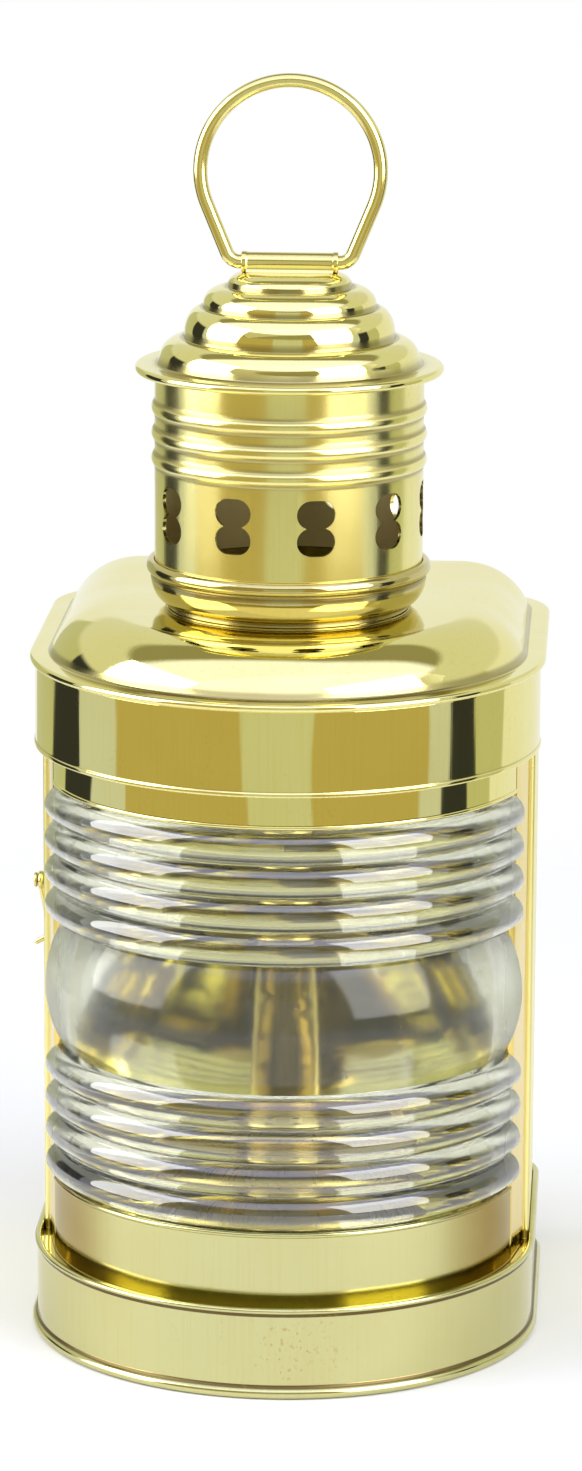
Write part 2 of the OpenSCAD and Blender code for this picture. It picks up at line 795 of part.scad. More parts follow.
// Drum with two rows of air holes, on a neck that screws into the collar
module burner_body() {
  neck_r = collar_r - pin_clear;
  neck_in = neck_r - drum_wall;
  drum_in = drum_r - drum_wall;
  neck_foot = font_top + neck_gap;
  lip_r = drum_r + drum_lip;
  rows = [drum_wall + air_margin + air_hole_r, drum_h - air_margin - air_hole_r];
  color(brass) difference() {
    rotate_extrude() polygon([
      [neck_in, neck_foot],
      [neck_r, neck_foot],
      [neck_r, collar_top],
      [lip_r, collar_top],
      [lip_r, drum_floor],
      [drum_r, drum_floor],
      [drum_r, drum_top],
      [drum_in, drum_top],
      [drum_in, drum_floor],
      [0, drum_floor],
      [0, collar_top - drum_wall],
      [neck_in, collar_top - drum_wall],
    ]);
    wick_slot(wick_tube_w, wick_tube_t, collar_top - 2 * drum_wall, 4 * drum_wall);
    translate([0, spindle_y, spindle_z]) rotate([0, 90, 0])
      cylinder(r = spindle_r + pin_clear, h = 4 * drum_r, center = true);
    for (z = rows, i = [0 : air_hole_count - 1])
      rotate([0, 0, (i + 0.5) * 360 / air_hole_count])
        translate([0, 2 * drum_wall - drum_r, collar_top + z])
          rotate([90, 0, 0]) cylinder(r = air_hole_r, h = 4 * drum_wall, $fn = 32);
  }
}

// Domed deflector with a slot over the wick
module burner_cone() {
  slot_gap = 1.2;
  color(pale_brass) translate([0, 0, drum_top]) difference() {
    sphere(drum_r);
    sphere(drum_r - drum_wall);
    translate([0, 0, -drum_r / 2]) cube([3 * drum_r, 3 * drum_r, drum_r], center = true);
    wick_slot(wick_tube_w + 2 * slot_gap, wick_tube_t + 2 * slot_gap, 0, 2 * drum_r);
  }
}

module wick_tube() {
  window_w = wheel_pitch + wheel_w + 2 * window_gap;
  inner_w = wick_w + 2 * wick_gap;
  inner_t = wick_t + 2 * wick_gap;
  foot = font_top - wick_tube_foot;
  color(pale_brass) difference() {
    wick_slot(wick_tube_w, wick_tube_t, foot, wick_tube_top - foot);
    wick_slot(inner_w, inner_t, foot - over, wick_tube_top - foot + 2 * over);
    translate([-window_w / 2, -wick_tube_t, spindle_z - wheel_r - window_gap])
      cube([window_w, wick_tube_t, 2 * (wheel_r + window_gap)]);
  }
}

module wick() {
  color(cotton) wick_slot(wick_w, wick_t, wick_z, wick_tube_top + wick_out - wick_z);
}

module at_spindle() {
  translate([0, spindle_y, spindle_z]) rotate([0, 90, 0]) children();
}

module wick_spindle() {
  color(pale_brass) at_spindle() translate([0, 0, -spindle_end])
    cylinder(r = spindle_r, h = spindle_end + knob_x + knob_t, $fn = 48);
}

module wick_wheels() {
  root = wheel_r - tooth_h;
  half = 120 / wheel_teeth;
  tooth_x = root * cos(half);
  tooth_y = root * sin(half);
  color(dark_brass) at_spindle() for (side = [-1, 1])
    translate([0, 0, side * wheel_pitch / 2 - wheel_w / 2]) linear_extrude(wheel_w) difference() {
      union() {
        circle(root);
        for (i = [0 : wheel_teeth - 1]) rotate(i * 360 / wheel_teeth)
          polygon([[0, 0], [tooth_x, -tooth_y], [wheel_r, 0], [tooth_x, tooth_y]]);
      }
      circle(spindle_r, $fn = 48);
    }
}

module wick_knob() {
  grips = 18;
  grip_r = 0.6;
  color(brass) at_spindle() translate([0, 0, knob_x]) linear_extrude(knob_t) difference() {
    circle(knob_r);
    circle(spindle_r, $fn = 48);
    for (i = [0 : grips - 1]) rotate(i * 360 / grips) translate([knob_r, 0]) circle(grip_r, $fn = 24);
  }
}

base_band();
base_plate();
base_deck();
lower_lens_ring();
lens();
upper_lens_ring();
left_jamb();
right_jamb();
left_side_plate();
right_side_plate();
rear_door();
frame_hinge_leaves();
door_hinge_leaves();
hinge_pins();
latch_pivot();
latch_hook();
latch_keeper();
hood_plate();
hood_skirt();
hood_dome();
chimney_cup();
chimney_tube();
chimney_cap();
bail_tube();
bail();
font_seat();
font();
font_collar();
burner_body();
burner_cone();
wick_tube();
wick();
wick_spindle();
wick_wheels();
wick_knob();
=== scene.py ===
import json
import math

import bmesh
import bpy
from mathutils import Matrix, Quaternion, Vector

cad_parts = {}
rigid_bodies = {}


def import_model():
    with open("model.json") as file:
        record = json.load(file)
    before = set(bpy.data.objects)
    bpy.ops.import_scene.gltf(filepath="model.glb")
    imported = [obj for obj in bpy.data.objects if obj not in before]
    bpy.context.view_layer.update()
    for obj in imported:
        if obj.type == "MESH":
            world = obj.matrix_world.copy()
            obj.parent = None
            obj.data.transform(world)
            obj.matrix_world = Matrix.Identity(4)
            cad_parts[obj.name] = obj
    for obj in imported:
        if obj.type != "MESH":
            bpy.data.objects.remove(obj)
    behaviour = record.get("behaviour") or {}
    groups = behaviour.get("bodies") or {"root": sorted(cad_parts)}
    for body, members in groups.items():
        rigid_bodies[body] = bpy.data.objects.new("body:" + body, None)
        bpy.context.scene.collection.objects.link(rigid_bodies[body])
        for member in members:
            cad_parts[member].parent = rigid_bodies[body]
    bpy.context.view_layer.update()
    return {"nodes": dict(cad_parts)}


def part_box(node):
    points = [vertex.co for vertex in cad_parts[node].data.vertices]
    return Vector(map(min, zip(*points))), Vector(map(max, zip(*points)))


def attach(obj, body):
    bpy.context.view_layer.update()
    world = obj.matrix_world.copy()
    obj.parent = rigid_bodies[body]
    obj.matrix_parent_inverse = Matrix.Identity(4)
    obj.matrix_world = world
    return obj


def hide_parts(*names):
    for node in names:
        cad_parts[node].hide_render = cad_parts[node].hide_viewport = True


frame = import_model()
nodes = frame["nodes"]
mm = 0.001
print("frame loaded,", len(nodes), "nodes")


# Shader sockets that can be used in sums
class Signal:
    def __init__(self, shader, socket):
        self.shader = shader
        self.socket = socket

    def maths(self, operation, other=0.0, flip=False):
        pair = [other, self] if flip else [self, other]
        return self.shader.add("ShaderNodeMath", {"operation": operation}, dict(enumerate(pair)))

    def __add__(self, other):
        return self.maths("ADD", other)

    def __sub__(self, other):
        return self.maths("SUBTRACT", other)

    def __rsub__(self, other):
        return self.maths("SUBTRACT", other, True)

    def __mul__(self, other):
        return self.maths("MULTIPLY", other)

    def __truediv__(self, other):
        return self.maths("DIVIDE", other)

    def __pow__(self, other):
        return self.maths("POWER", other)

    __radd__ = __add__
    __rmul__ = __mul__

    def above(self, low, high):  # 0 below low, 1 above high, smooth between
        return self.shader.add("ShaderNodeMapRange", {"interpolation_type": "SMOOTHSTEP"},
                               {0: self, 1: low, 2: high, 3: 0.0, 4: 1.0})

    def band(self, low, high, soft):
        return self.above(low - soft, low + soft) * (1 - self.above(high - soft, high + soft))


class Shader:
    def __init__(self, tree):
        self.tree = tree
        self.tree.nodes.clear()

    def add(self, kind, settings=None, inputs=None, out=0):
        node = self.tree.nodes.new(kind)
        for key, value in (settings or {}).items():
            if key == "stops":
                ramp = node.color_ramp
                while len(ramp.elements) < len(value):
                    ramp.elements.new(0.5)
                for element, (place, colour) in zip(ramp.elements, value):
                    element.position = place
                    element.color = (*colour, 1)
            else:
                setattr(node, key, value)
        for key, value in (inputs or {}).items():
            if isinstance(value, Signal):
                self.tree.links.new(value.socket, node.inputs[key])
            else:
                node.inputs[key].default_value = value
        return Signal(self, node.outputs[out]) if node.outputs else None

    def mix(self, share, first, second):
        return self.add("ShaderNodeMix", {"data_type": "RGBA"}, {0: share, 6: first, 7: second}, 2)

    def place(self, scale=(1, 1, 1)):
        spot = self.add("ShaderNodeTexCoord", out="Object")
        return self.add("ShaderNodeMapping", None, {"Vector": spot, "Scale": scale})

    def axis(self, name):
        return self.add("ShaderNodeSeparateXYZ", None, {0: self.place()}, name)

    def noise(self, scale, detail=3, stretch=(1, 1, 1), rough=0.5):
        return self.add("ShaderNodeTexNoise", None, {"Vector": self.place(stretch), "Scale": scale,
                                                     "Detail": detail, "Roughness": rough})

    def mark(self, name):
        return self.add("ShaderNodeAttribute", {"attribute_name": name}, None, "Fac")

    def bump(self, height, distance, strength=1.0, under=None):
        inputs = {"Height": height, "Distance": distance, "Strength": strength}
        if under:
            inputs["Normal"] = under
        return self.add("ShaderNodeBump", None, inputs)

    def surface(self, values):
        body = self.add("ShaderNodeBsdfPrincipled", None, values)
        self.add("ShaderNodeOutputMaterial", None, {"Surface": body})


def newMaterial(name):
    material = bpy.data.materials.new(name)
    material.use_nodes = True
    return material, Shader(material.node_tree)


# Brass finishes: colours are linear, lengths in metres
polishedBrass = {"name": "polishedBrass", "bright": (0.83, 0.76, 0.33), "warm": (0.79, 0.69, 0.24),
                 "gloss": 0.03, "streak": 0.03, "wave": 0.0050, "grain": 0.000008,
                 "specks": 0.12, "creaseShadeAmount": 0.55}
# Darker copies of the polished brass for the base and the lower lens ring: their darker tone is painted
# shade, their specks are real dust
baseBrass = dict(polishedBrass, name="baseBrass", bright=(0.60, 0.575, 0.275), warm=(0.56, 0.505, 0.20),
                 gloss=0.10, streak=0.05, specks=0.6, speckSide=0.028, creaseShadeAmount=0.9)
# The lower lens ring also gets painted shade towards its two ends
ringBrass = dict(baseBrass, name="ringBrass", specks=0.1, ends=0.046)
# Darker copy for the chimney cup: painted shade in place of the dim reflection it catches
cupBrass = dict(polishedBrass, name="cupBrass", bright=(0.58, 0.50, 0.21), warm=(0.50, 0.40, 0.14),
                gloss=0.08)
plateBrass = dict(polishedBrass, name="plateBrass", satin=0.24, streak=0.06)
jambBrass = dict(polishedBrass, name="jambBrass", bright=(0.84, 0.66, 0.20), warm=(0.76, 0.54, 0.13),
                 gloss=0.10)
chimneyBrass = dict(polishedBrass, name="chimneyBrass", gloss=0.15, wave=0.0050, soot=0.02795)
fittingBrass = {"name": "fittingBrass", "bright": (0.77, 0.69, 0.29), "warm": (0.70, 0.58, 0.20),
                "gloss": 0.10, "streak": 0.05, "wave": 0.0001, "grain": 0.000002,
                "specks": 0.2, "creaseShadeAmount": 0.7}
burnerBrass = {"name": "burnerBrass", "bright": (0.82, 0.66, 0.24), "warm": (0.72, 0.54, 0.15),
               "gloss": 0.24, "streak": 0.08, "wave": 0.0001, "grain": 0.000004,
               "specks": 0.4, "creaseShadeAmount": 0.6}
# Colours for real stains (specks, soot) and for painted shade (ring ends, creases)
stainsAndShade = {"ends": (0.34, 0.23, 0.05, 1), "paintedCreaseShade": (0.09, 0.05, 0.014, 1), "speck": (0.46, 0.32, 0.10, 1),
          "soot": (0.34, 0.24, 0.15, 1)}


def brass(finish):
    material, s = newMaterial(finish["name"])
    drawn = s.noise(1500, 2, (1, 1, 0.02))  # fine upright polishing lines
    hazy = s.noise(38, 4)
    hand = s.noise(21, 2, (1, 1, 0.6), 0.4)  # slow dents of sheet worked by hand
    dust = s.noise(1000, 3)
    patch = s.noise(55, 3)
    speck = dust.above(0.56, 0.70) * patch.above(0.46, 0.66) * finish["specks"]
    if "speckSide" in finish:  # worn on one side of the front
        speck = speck * (1 - s.axis("X").above(0.0, finish["speckSide"]))
    # Painted shade: a dark brown painted into creases and hollows, where shade falls
    paintedCreaseShade = (s.mark("crease") * 1.3 + hazy * 0.4 - 0.2).above(0.1, 0.9) * finish["creaseShadeAmount"]
    tone = s.mix(hazy.above(0.35, 0.75), finish["bright"] + (1,), finish["warm"] + (1,))
    tone = s.mix(0.35, finish["bright"] + (1,), tone)
    tone = s.mix(drawn.above(0.48, 0.68) * 0.28, tone, finish["warm"] + (1,))
    if "ends" in finish:  # painted shade, darker towards the ring's two ends
        away = s.axis("X").maths("ABSOLUTE").above(finish["ends"] - 0.014, finish["ends"])
        tone = s.mix(away * (hazy * 0.8 + 0.4), tone, stainsAndShade["ends"])
    tone = s.mix(paintedCreaseShade, tone, stainsAndShade["paintedCreaseShade"])
    tone = s.mix(speck, tone, stainsAndShade["speck"])
    rough = drawn * finish["streak"] + hazy.above(0.45, 0.8) * 0.03 + finish["gloss"]
    rough = rough + speck * 0.35 + paintedCreaseShade * 0.25
    if "soot" in finish:  # dull and brown inside that radius
        away = s.add("ShaderNodeVectorMath", {"operation": "LENGTH"}, {0: s.place((1, 1, 0))}, "Value")
        inside = 1 - away.above(finish["soot"] - 0.0001, finish["soot"] + 0.0001)
        tone = s.mix(inside * 0.75, tone, stainsAndShade["soot"])
        rough = rough + inside * 0.45
    if "satin" in finish:  # duller outside than inside
        rough = rough + s.mark("outer") * finish["satin"]
    under = s.bump(hand, finish["wave"], 0.35)
    top = s.bump(drawn, finish["grain"], 0.5, under)
    s.surface({"Base Color": tone, "Metallic": 1.0, "Roughness": rough, "Normal": top})
    return material


lensGlass = {"name": "lensGlass", "tint": (0.90, 0.93, 0.855, 1), "ior": 1.5, "coatIor": 1.8, "gloss": 0.06,
             "wave": 0.0003, "clear": 0.99, "frostFrom": 0.042, "frostTo": 0.052, "frost": 0.28,
             "belly": (0.0644, 0.0928), "bellyBlur": 0.03}


def glass(finish):
    material, s = newMaterial(finish["name"])
    flow = s.noise(45, 2, (1, 1, 2.2))
    pits = s.noise(420, 2).above(0.68, 0.8)
    ends = s.axis("X").maths("ABSOLUTE").above(finish["frostFrom"], finish["frostTo"]) * (flow * 0.6 + 0.7)
    belly = s.axis("Z").band(*finish["belly"], 0.0004)
    rough = pits * 0.06 + ends * finish["frost"] + belly * finish["bellyBlur"] + finish["gloss"]
    under = s.bump(flow, finish["wave"], 0.5)
    top = s.bump(pits, 0.0001, 0.25, under)
    s.surface({"Base Color": finish["tint"], "Roughness": rough, "IOR": finish["ior"],
               "Transmission Weight": finish["clear"], "Coat Weight": 1 - belly, "Coat Roughness": 0.03,
               "Coat IOR": finish["coatIor"], "Normal": top})
    return material


cottonWick = {"name": "cottonWick", "clean": (0.74, 0.68, 0.55, 1), "oiled": (0.42, 0.33, 0.20, 1),
              "charred": (0.02, 0.017, 0.014, 1), "charFrom": 0.0712, "charTo": 0.0722, "pick": 1100}


def cotton(finish):
    material, s = newMaterial(finish["name"])
    height = s.axis("Z")
    ribs = s.add("ShaderNodeTexWave", {"wave_type": "BANDS", "bands_direction": "DIAGONAL"},
                 {"Vector": s.place(), "Scale": finish["pick"], "Distortion": 1.5, "Detail": 2}, "Fac")
    cross = s.add("ShaderNodeTexWave", {"wave_type": "BANDS", "bands_direction": "Z"},
                  {"Vector": s.place(), "Scale": finish["pick"] * 0.8, "Distortion": 1.0}, "Fac")
    weave = ribs * 0.6 + cross * 0.4
    fluff = s.noise(2500, 3)
    soot = (height + fluff * 0.0006).above(finish["charFrom"], finish["charTo"])
    tone = s.mix(weave * 0.7 + fluff * 0.3, finish["oiled"], finish["clean"])
    tone = s.mix(soot, tone, finish["charred"])
    s.surface({"Base Color": tone, "Roughness": 0.9, "Normal": s.bump(weave + fluff * 0.5, 0.0002, 0.8)})
    return material


brassSheet = brass(polishedBrass)
shadedBrassBase = brass(baseBrass)
shadedBrassRing = brass(ringBrass)
shadedBrassCup = brass(cupBrass)
brassPlate = brass(plateBrass)
brassJamb = brass(jambBrass)
brassChimney = brass(chimneyBrass)
brassSmall = brass(fittingBrass)
brassBurner = brass(burnerBrass)
glassClear = glass(lensGlass)
cottonTape = cotton(cottonWick)
sheetMetals = (brassSheet, shadedBrassBase, shadedBrassRing, shadedBrassCup, brassPlate, brassJamb, brassChimney)
slotOf = {metal.name: "polished_brass" for metal in sheetMetals}
slotOf |= {brassSmall.name: "brass_fittings", brassBurner.name: "burner_brass",
           glassClear.name: "clear_glass", cottonTape.name: "cotton_wick"}
print("materials made:", len(slotOf))


# Outlines: lists of points in millimetres, x outwards and y upwards
def arc(cx, cy, radius, start, stop, steps=12):
    turn = [math.radians(start + (stop - start) * i / steps) for i in range(steps + 1)]
    return [(cx + radius * math.cos(a), cy + radius * math.sin(a)) for a in turn]


def rounded(corners, steps=4, closed=True):  # corners are (x, y) or (x, y, radius)
    out = []
    count = len(corners)
    for i, corner in enumerate(corners):
        here = Vector(corner[:2])
        radius = corner[2] if len(corner) > 2 else 0
        if radius == 0 or (not closed and i in (0, count - 1)):
            out.append(tuple(here))
            continue
        back = Vector(corners[i - 1][:2]) - here
        ahead = Vector(corners[(i + 1) % count][:2]) - here
        half = back.angle(ahead) / 2
        if half > 1.56:
            out.append(tuple(here))
            continue
        reach = min(radius / math.tan(half), back.length * 0.49, ahead.length * 0.49)
        radius = reach * math.tan(half)
        back.normalize()
        ahead.normalize()
        middle = here + (back + ahead).normalized() * (radius / math.sin(half))
        first = here + back * reach - middle
        last = here + ahead * reach - middle
        swing = first.angle_signed(last)
        for k in range(steps + 1):
            turn = -swing * k / steps
            x = first.x * math.cos(turn) - first.y * math.sin(turn)
            y = first.x * math.sin(turn) + first.y * math.cos(turn)
            out.append((middle.x + x, middle.y + y))
    return out


def tidyOutline(points, least=0.01):  # drops points that lie on each other
    out = []
    for p in points:
        if not out or math.dist(out[-1], p) > least:
            out.append(p)
    if math.dist(out[0], out[-1]) <= least:
        out.pop()
    return out


# Extra points by the ends of long straight runs keep them flat to the eye
def held(outline, closed=True, near=0.3):
    out = []
    count = len(outline)
    for i, here in enumerate(outline):
        out.append(here)
        if i == count - 1 and not closed:
            continue
        ahead = outline[(i + 1) % count]
        span = math.dist(here, ahead)
        if span > near * 3:
            for k in (near / span, 1 - near / span):
                out.append((here[0] + (ahead[0] - here[0]) * k, here[1] + (ahead[1] - here[1]) * k))
    return out


def creases(outline, closed=True):  # how hollow the outline is at each point, from 0 to 1
    count = len(outline)
    area = sum(outline[i - 1][0] * outline[i][1] - outline[i][0] * outline[i - 1][1] for i in range(count))
    sign = 1 if area > 0 else -1
    raw = []
    for i, here in enumerate(outline):
        if not closed and i in (0, count - 1):
            raw.append(0.0)
            continue
        a = Vector(here) - Vector(outline[i - 1])
        b = Vector(outline[(i + 1) % count]) - Vector(here)
        turn = a.angle_signed(b, 0.0) * sign
        raw.append(max(0.0, min(1.0, turn * 2.5)))
    soft = []
    for i in range(count):
        near = [raw[(i + k) % count] * (1 - abs(k) / 3) for k in (-2, -1, 0, 1, 2)]
        soft.append(max(near))
    return soft


# Meshes: rings of points in millimetres, joined ring to ring
def finishMesh(name, mesh, material, sharp=None):
    work = bmesh.new()
    work.from_mesh(mesh)
    bmesh.ops.remove_doubles(work, verts=work.verts, dist=0.000002)
    bmesh.ops.recalc_face_normals(work, faces=work.faces)
    work.to_mesh(mesh)
    work.free()
    mesh.shade_smooth()
    if sharp:
        mesh.set_sharp_from_angle(angle=math.radians(sharp))
    mesh.materials.clear()
    mesh.materials.append(material)
    piece = bpy.data.objects.new(name, mesh)
    bpy.context.scene.collection.objects.link(piece)
    return piece


def ringMesh(name, rings, material, around=True, across=True, caps=False, crease=None, sharp=None,
             outer=None):
    width = len(rings[0])
    points = [tuple(v * mm for v in p) for ring in rings for p in ring]
    faces = []
    turns = len(rings) if around else len(rings) - 1
    steps = width if across else width - 1
    for i in range(turns):
        for j in range(steps):
            a, b = i * width, ((i + 1) % len(rings)) * width
            k = (j + 1) % width
            faces.append((a + j, b + j, b + k, a + k))
    if caps and not around:
        last = (len(rings) - 1) * width
        faces.append(tuple(range(width)))
        faces.append(tuple(last + j for j in reversed(range(width))))
    mesh = bpy.data.meshes.new(name)
    mesh.from_pydata(points, [], faces)
    for label, values in (("crease", crease), ("outer", outer)):
        if values:
            layer = mesh.attributes.new(label, "FLOAT", "POINT")
            layer.data.foreach_set("value", [v for _ in rings for v in values])
    return finishMesh(name, mesh, material, sharp)


def revolve(name, outline, material, steps=192, span=None, centre=(0, 0), across=True, sharp=None):
    outline = held(tidyOutline(outline), across)
    whole = span is None
    start, sweep = (-90, 360) if whole else (-90 - span / 2, span)
    rings = []
    for i in range(steps if whole else steps + 1):
        a = math.radians(start + sweep * i / steps)
        rings.append([(centre[0] + r * math.cos(a), centre[1] + r * math.sin(a), z) for r, z in outline])
    caps = across and not whole
    return ringMesh(name, rings, material, whole, across, caps, creases(outline, across), sharp)


# The body's outline in plan: points and outward directions
def planPath(frontSteps=128, cornerSteps=28, sideSteps=10):
    radius, back, corner = bodyPlan["radius"], bodyPlan["back"], bodyPlan["corner"]
    flat, half = back - corner, radius - corner
    path = [((radius * c, radius * s), (c, s)) for c, s in arc(0, 0, 1, 180, 360, frontSteps)]
    path += [((radius, flat * i / sideSteps), (1, 0)) for i in range(1, sideSteps)]
    turn = arc(0, 0, 1, 0, 90, cornerSteps)
    path += [((half + corner * c, flat + corner * s), (c, s)) for c, s in turn]
    path += [((half - 2 * half * i / sideSteps, back), (0, 1)) for i in range(1, sideSteps)]
    turn = arc(0, 0, 1, 90, 180, cornerSteps)
    path += [((-half + corner * c, flat + corner * s), (c, s)) for c, s in turn]
    path += [((-radius, flat - flat * i / sideSteps), (-1, 0)) for i in range(1, sideSteps)]
    return path


def sweepPlan(name, outline, material, sharp=None):
    outline = held(tidyOutline(outline))
    rings = [[(p[0] + n[0] * d, p[1] + n[1] * d, z) for d, z in outline] for p, n in planPath()]
    return ringMesh(name, rings, material, True, True, False, creases(outline), sharp)


# An upright sheet along a line in plan; side is 1 where its right-hand face is the outer one
def sheetStrip(name, path, thick, low, high, material, edge=0.3, side=1):
    outline = held(rounded([(-thick / 2, low, edge), (thick / 2, low, edge), (thick / 2, high, edge),
                            (-thick / 2, high, edge)], 3))
    path = [Vector(p) for p in path]
    rings = []
    for i, here in enumerate(path):
        ahead = path[min(i + 1, len(path) - 1)] - path[max(i - 1, 0)]
        ahead.normalize()
        off = Vector((ahead.y, -ahead.x))
        rings.append([(here.x + off.x * d, here.y + off.y * d, z) for d, z in outline])
    outer = [1.0 if d * side > 0 else 0.0 for d, z in outline]
    return ringMesh(name, rings, material, False, True, True, None, 40, outer)


def joinPieces(name, pieces):
    work = bmesh.new()
    for piece in pieces:
        work.from_mesh(piece.data)
    mesh = bpy.data.meshes.new(name)
    work.to_mesh(mesh)
    work.free()
    mesh.materials.append(pieces[0].data.materials[0])
    for piece in pieces:
        bpy.data.objects.remove(piece)
    joined = bpy.data.objects.new(name, mesh)
    bpy.context.scene.collection.objects.link(joined)
    return joined


def shifted(piece, dx=0, dy=0, dz=0, turn=None):  # moves a piece by moving its points
    for v in piece.data.vertices:
        p = Vector(v.co)
        if turn:
            p = turn @ p
        v.co = p + Vector((dx, dy, dz)) * mm
    piece.data.update()
    return piece


def settle(piece, body, *replaced):
    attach(piece, body)
    if replaced:
        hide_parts(*replaced)
    return piece


# Geometry Nodes trees
class Recipe:
    def __init__(self, name, inputs):
        self.tree = bpy.data.node_groups.new(name, "GeometryNodeTree")
        face = self.tree.interface
        face.new_socket("Geometry", in_out="INPUT", socket_type="NodeSocketGeometry")
        self.ids = {}
        for label, (kind, value) in inputs.items():
            socket = face.new_socket(label, in_out="INPUT", socket_type="NodeSocket" + kind)
            if value is not None:
                socket.default_value = value
            self.ids[label] = socket.identifier
        face.new_socket("Geometry", in_out="OUTPUT", socket_type="NodeSocketGeometry")
        self.start = self.tree.nodes.new("NodeGroupInput")

    def given(self, label):
        return self.start.outputs[label]

    def add(self, kind, settings=None, inputs=None, out=0):
        node = self.tree.nodes.new(kind)
        for key, value in (settings or {}).items():
            setattr(node, key, value)
        for key, value in (inputs or {}).items():
            if isinstance(value, bpy.types.NodeSocket):
                self.tree.links.new(value, node.inputs[key])
            else:
                node.inputs[key].default_value = value
        return node.outputs[out]

    def close(self, shape):
        shape = self.add("GeometryNodeRealizeInstances", None, {0: shape})
        shape = self.add("GeometryNodeSetMaterial", None, {0: shape, "Material": self.given("Material")})
        end = self.tree.nodes.new("NodeGroupOutput")
        self.tree.links.new(shape, end.inputs[0])

    def make(self, piece, values, sharp=None):  # runs the tree on a piece and keeps the plain mesh
        extra = piece.modifiers.new(self.tree.name, "NODES")
        extra.node_group = self.tree
        for label, value in values.items():
            extra[self.ids[label]] = value
        graph = bpy.context.evaluated_depsgraph_get()
        mesh = bpy.data.meshes.new_from_object(piece.evaluated_get(graph))
        piece.modifiers.remove(extra)
        name = piece.name
        old = piece.data
        bpy.data.objects.remove(piece)
        bpy.data.meshes.remove(old)
        mesh.name = name
        return finishMesh(name, mesh, values["Material"], sharp)


def ringCutRecipe():  # cuts a ring of like holes through a turned wall
    r = Recipe("ringCut", {"Cutter": ("Object", None), "Count": ("Int", 10), "First turn": ("Float", 0.0),
                           "Height": ("Float", 0.0), "Material": ("Material", None)})
    step = r.add("ShaderNodeMath", {"operation": "DIVIDE"}, {0: math.tau, 1: r.given("Count")})
    index = r.add("GeometryNodeInputIndex")
    turn = r.add("ShaderNodeMath", {"operation": "MULTIPLY_ADD"},
                 {0: index, 1: step, 2: r.given("First turn")})
    spin = r.add("ShaderNodeCombineXYZ", None, {"Z": turn})
    lift = r.add("ShaderNodeCombineXYZ", None, {"Z": r.given("Height")})
    dots = r.add("GeometryNodePoints", None, {"Count": r.given("Count"), "Position": lift})
    shape = r.add("GeometryNodeObjectInfo", {"transform_space": "ORIGINAL"}, {0: r.given("Cutter")},
                  "Geometry")
    ring = r.add("GeometryNodeInstanceOnPoints", None,
                 {"Points": dots, "Instance": shape, "Rotation": spin})
    solid = r.add("GeometryNodeRealizeInstances", None, {0: ring})
    cut = r.add("GeometryNodeMeshBoolean", {"operation": "DIFFERENCE", "solver": "EXACT"},
                {0: r.given("Geometry"), 1: solid})
    r.close(cut)
    return r


def wireRecipe():  # sweeps a round wire along a line of points
    r = Recipe("wire", {"Radius": ("Float", 0.001), "Sides": ("Int", 20), "Material": ("Material", None)})
    line = r.add("GeometryNodeMeshToCurve", None, {0: r.given("Geometry")})
    ring = r.add("GeometryNodeCurvePrimitiveCircle", None,
                 {"Resolution": r.given("Sides"), "Radius": r.given("Radius")})
    tube = r.add("GeometryNodeCurveToMesh", None,
                 {"Curve": line, "Profile Curve": ring, "Fill Caps": True})
    r.close(tube)
    return r


def studRecipe():  # a row of domed rivet heads
    r = Recipe("studs", {"Count": ("Int", 2), "Step": ("Vector", None), "Radius": ("Float", 0.001),
                         "Flat": ("Float", 0.5), "Material": ("Material", None)})
    row = r.add("GeometryNodeMeshLine", None, {"Count": r.given("Count"), "Offset": r.given("Step")})
    head = r.add("GeometryNodeMeshUVSphere", None,
                 {"Segments": 20, "Rings": 10, "Radius": r.given("Radius")})
    squat = r.add("ShaderNodeCombineXYZ", None, {"X": 1.0, "Y": r.given("Flat"), "Z": 1.0})
    dots = r.add("GeometryNodeInstanceOnPoints", None, {"Points": row, "Instance": head, "Scale": squat})
    r.close(dots)
    return r


ringCut = ringCutRecipe()
wire = wireRecipe()
studs = studRecipe()


def wirePiece(name, line, radius, material, closed=False, sides=24):
    mesh = bpy.data.meshes.new(name)
    links = [(i, i + 1) for i in range(len(line) - 1)]
    if closed:
        links.append((len(line) - 1, 0))
    mesh.from_pydata([tuple(v * mm for v in p) for p in line], links, [])
    piece = bpy.data.objects.new(name, mesh)
    bpy.context.scene.collection.objects.link(piece)
    return wire.make(piece, {"Radius": radius * mm, "Sides": sides, "Material": material})


def blank(name):  # an empty mesh for a tree that makes its own shape
    piece = bpy.data.objects.new(name, bpy.data.meshes.new(name))
    bpy.context.scene.collection.objects.link(piece)
    return piece


print("tools ready")

# Base
bodyPlan = {"radius": 54.4, "back": 67.5, "corner": 19.0}
base = {"high": 19.9, "sheet": 0.8, "footBead": 1.19, "rimBead": 0.6}


def makeBase():
    t, foot, rim, high = base["sheet"], base["footBead"], base["rimBead"], base["high"]
    outline = [(-t, 0.2), (-t + 0.2, 0)]
    outline += arc(0, foot, foot, -90, 75, 16)
    outline += rounded([(foot * 0.2, foot * 2), (0, foot * 2 + 0.6, 0.5), (0, high - rim * 2 - 0.7, 0.5),
                        (rim * 0.3, high - rim * 2)], 4, False)
    outline += arc(0, high - rim, rim, -70, 90, 12)
    outline += arc(-t + 0.3, high - 0.3, 0.3, 90, 180, 4)
    band = sweepPlan("baseBand", outline, shadedBrassBase)
    settle(band, "lantern", "base_band")
    for name in ("base_plate", "base_deck", "hood_plate"):
        nodes[name].data.materials.clear()
        nodes[name].data.materials.append(brassSheet)


makeBase()
print("base done")

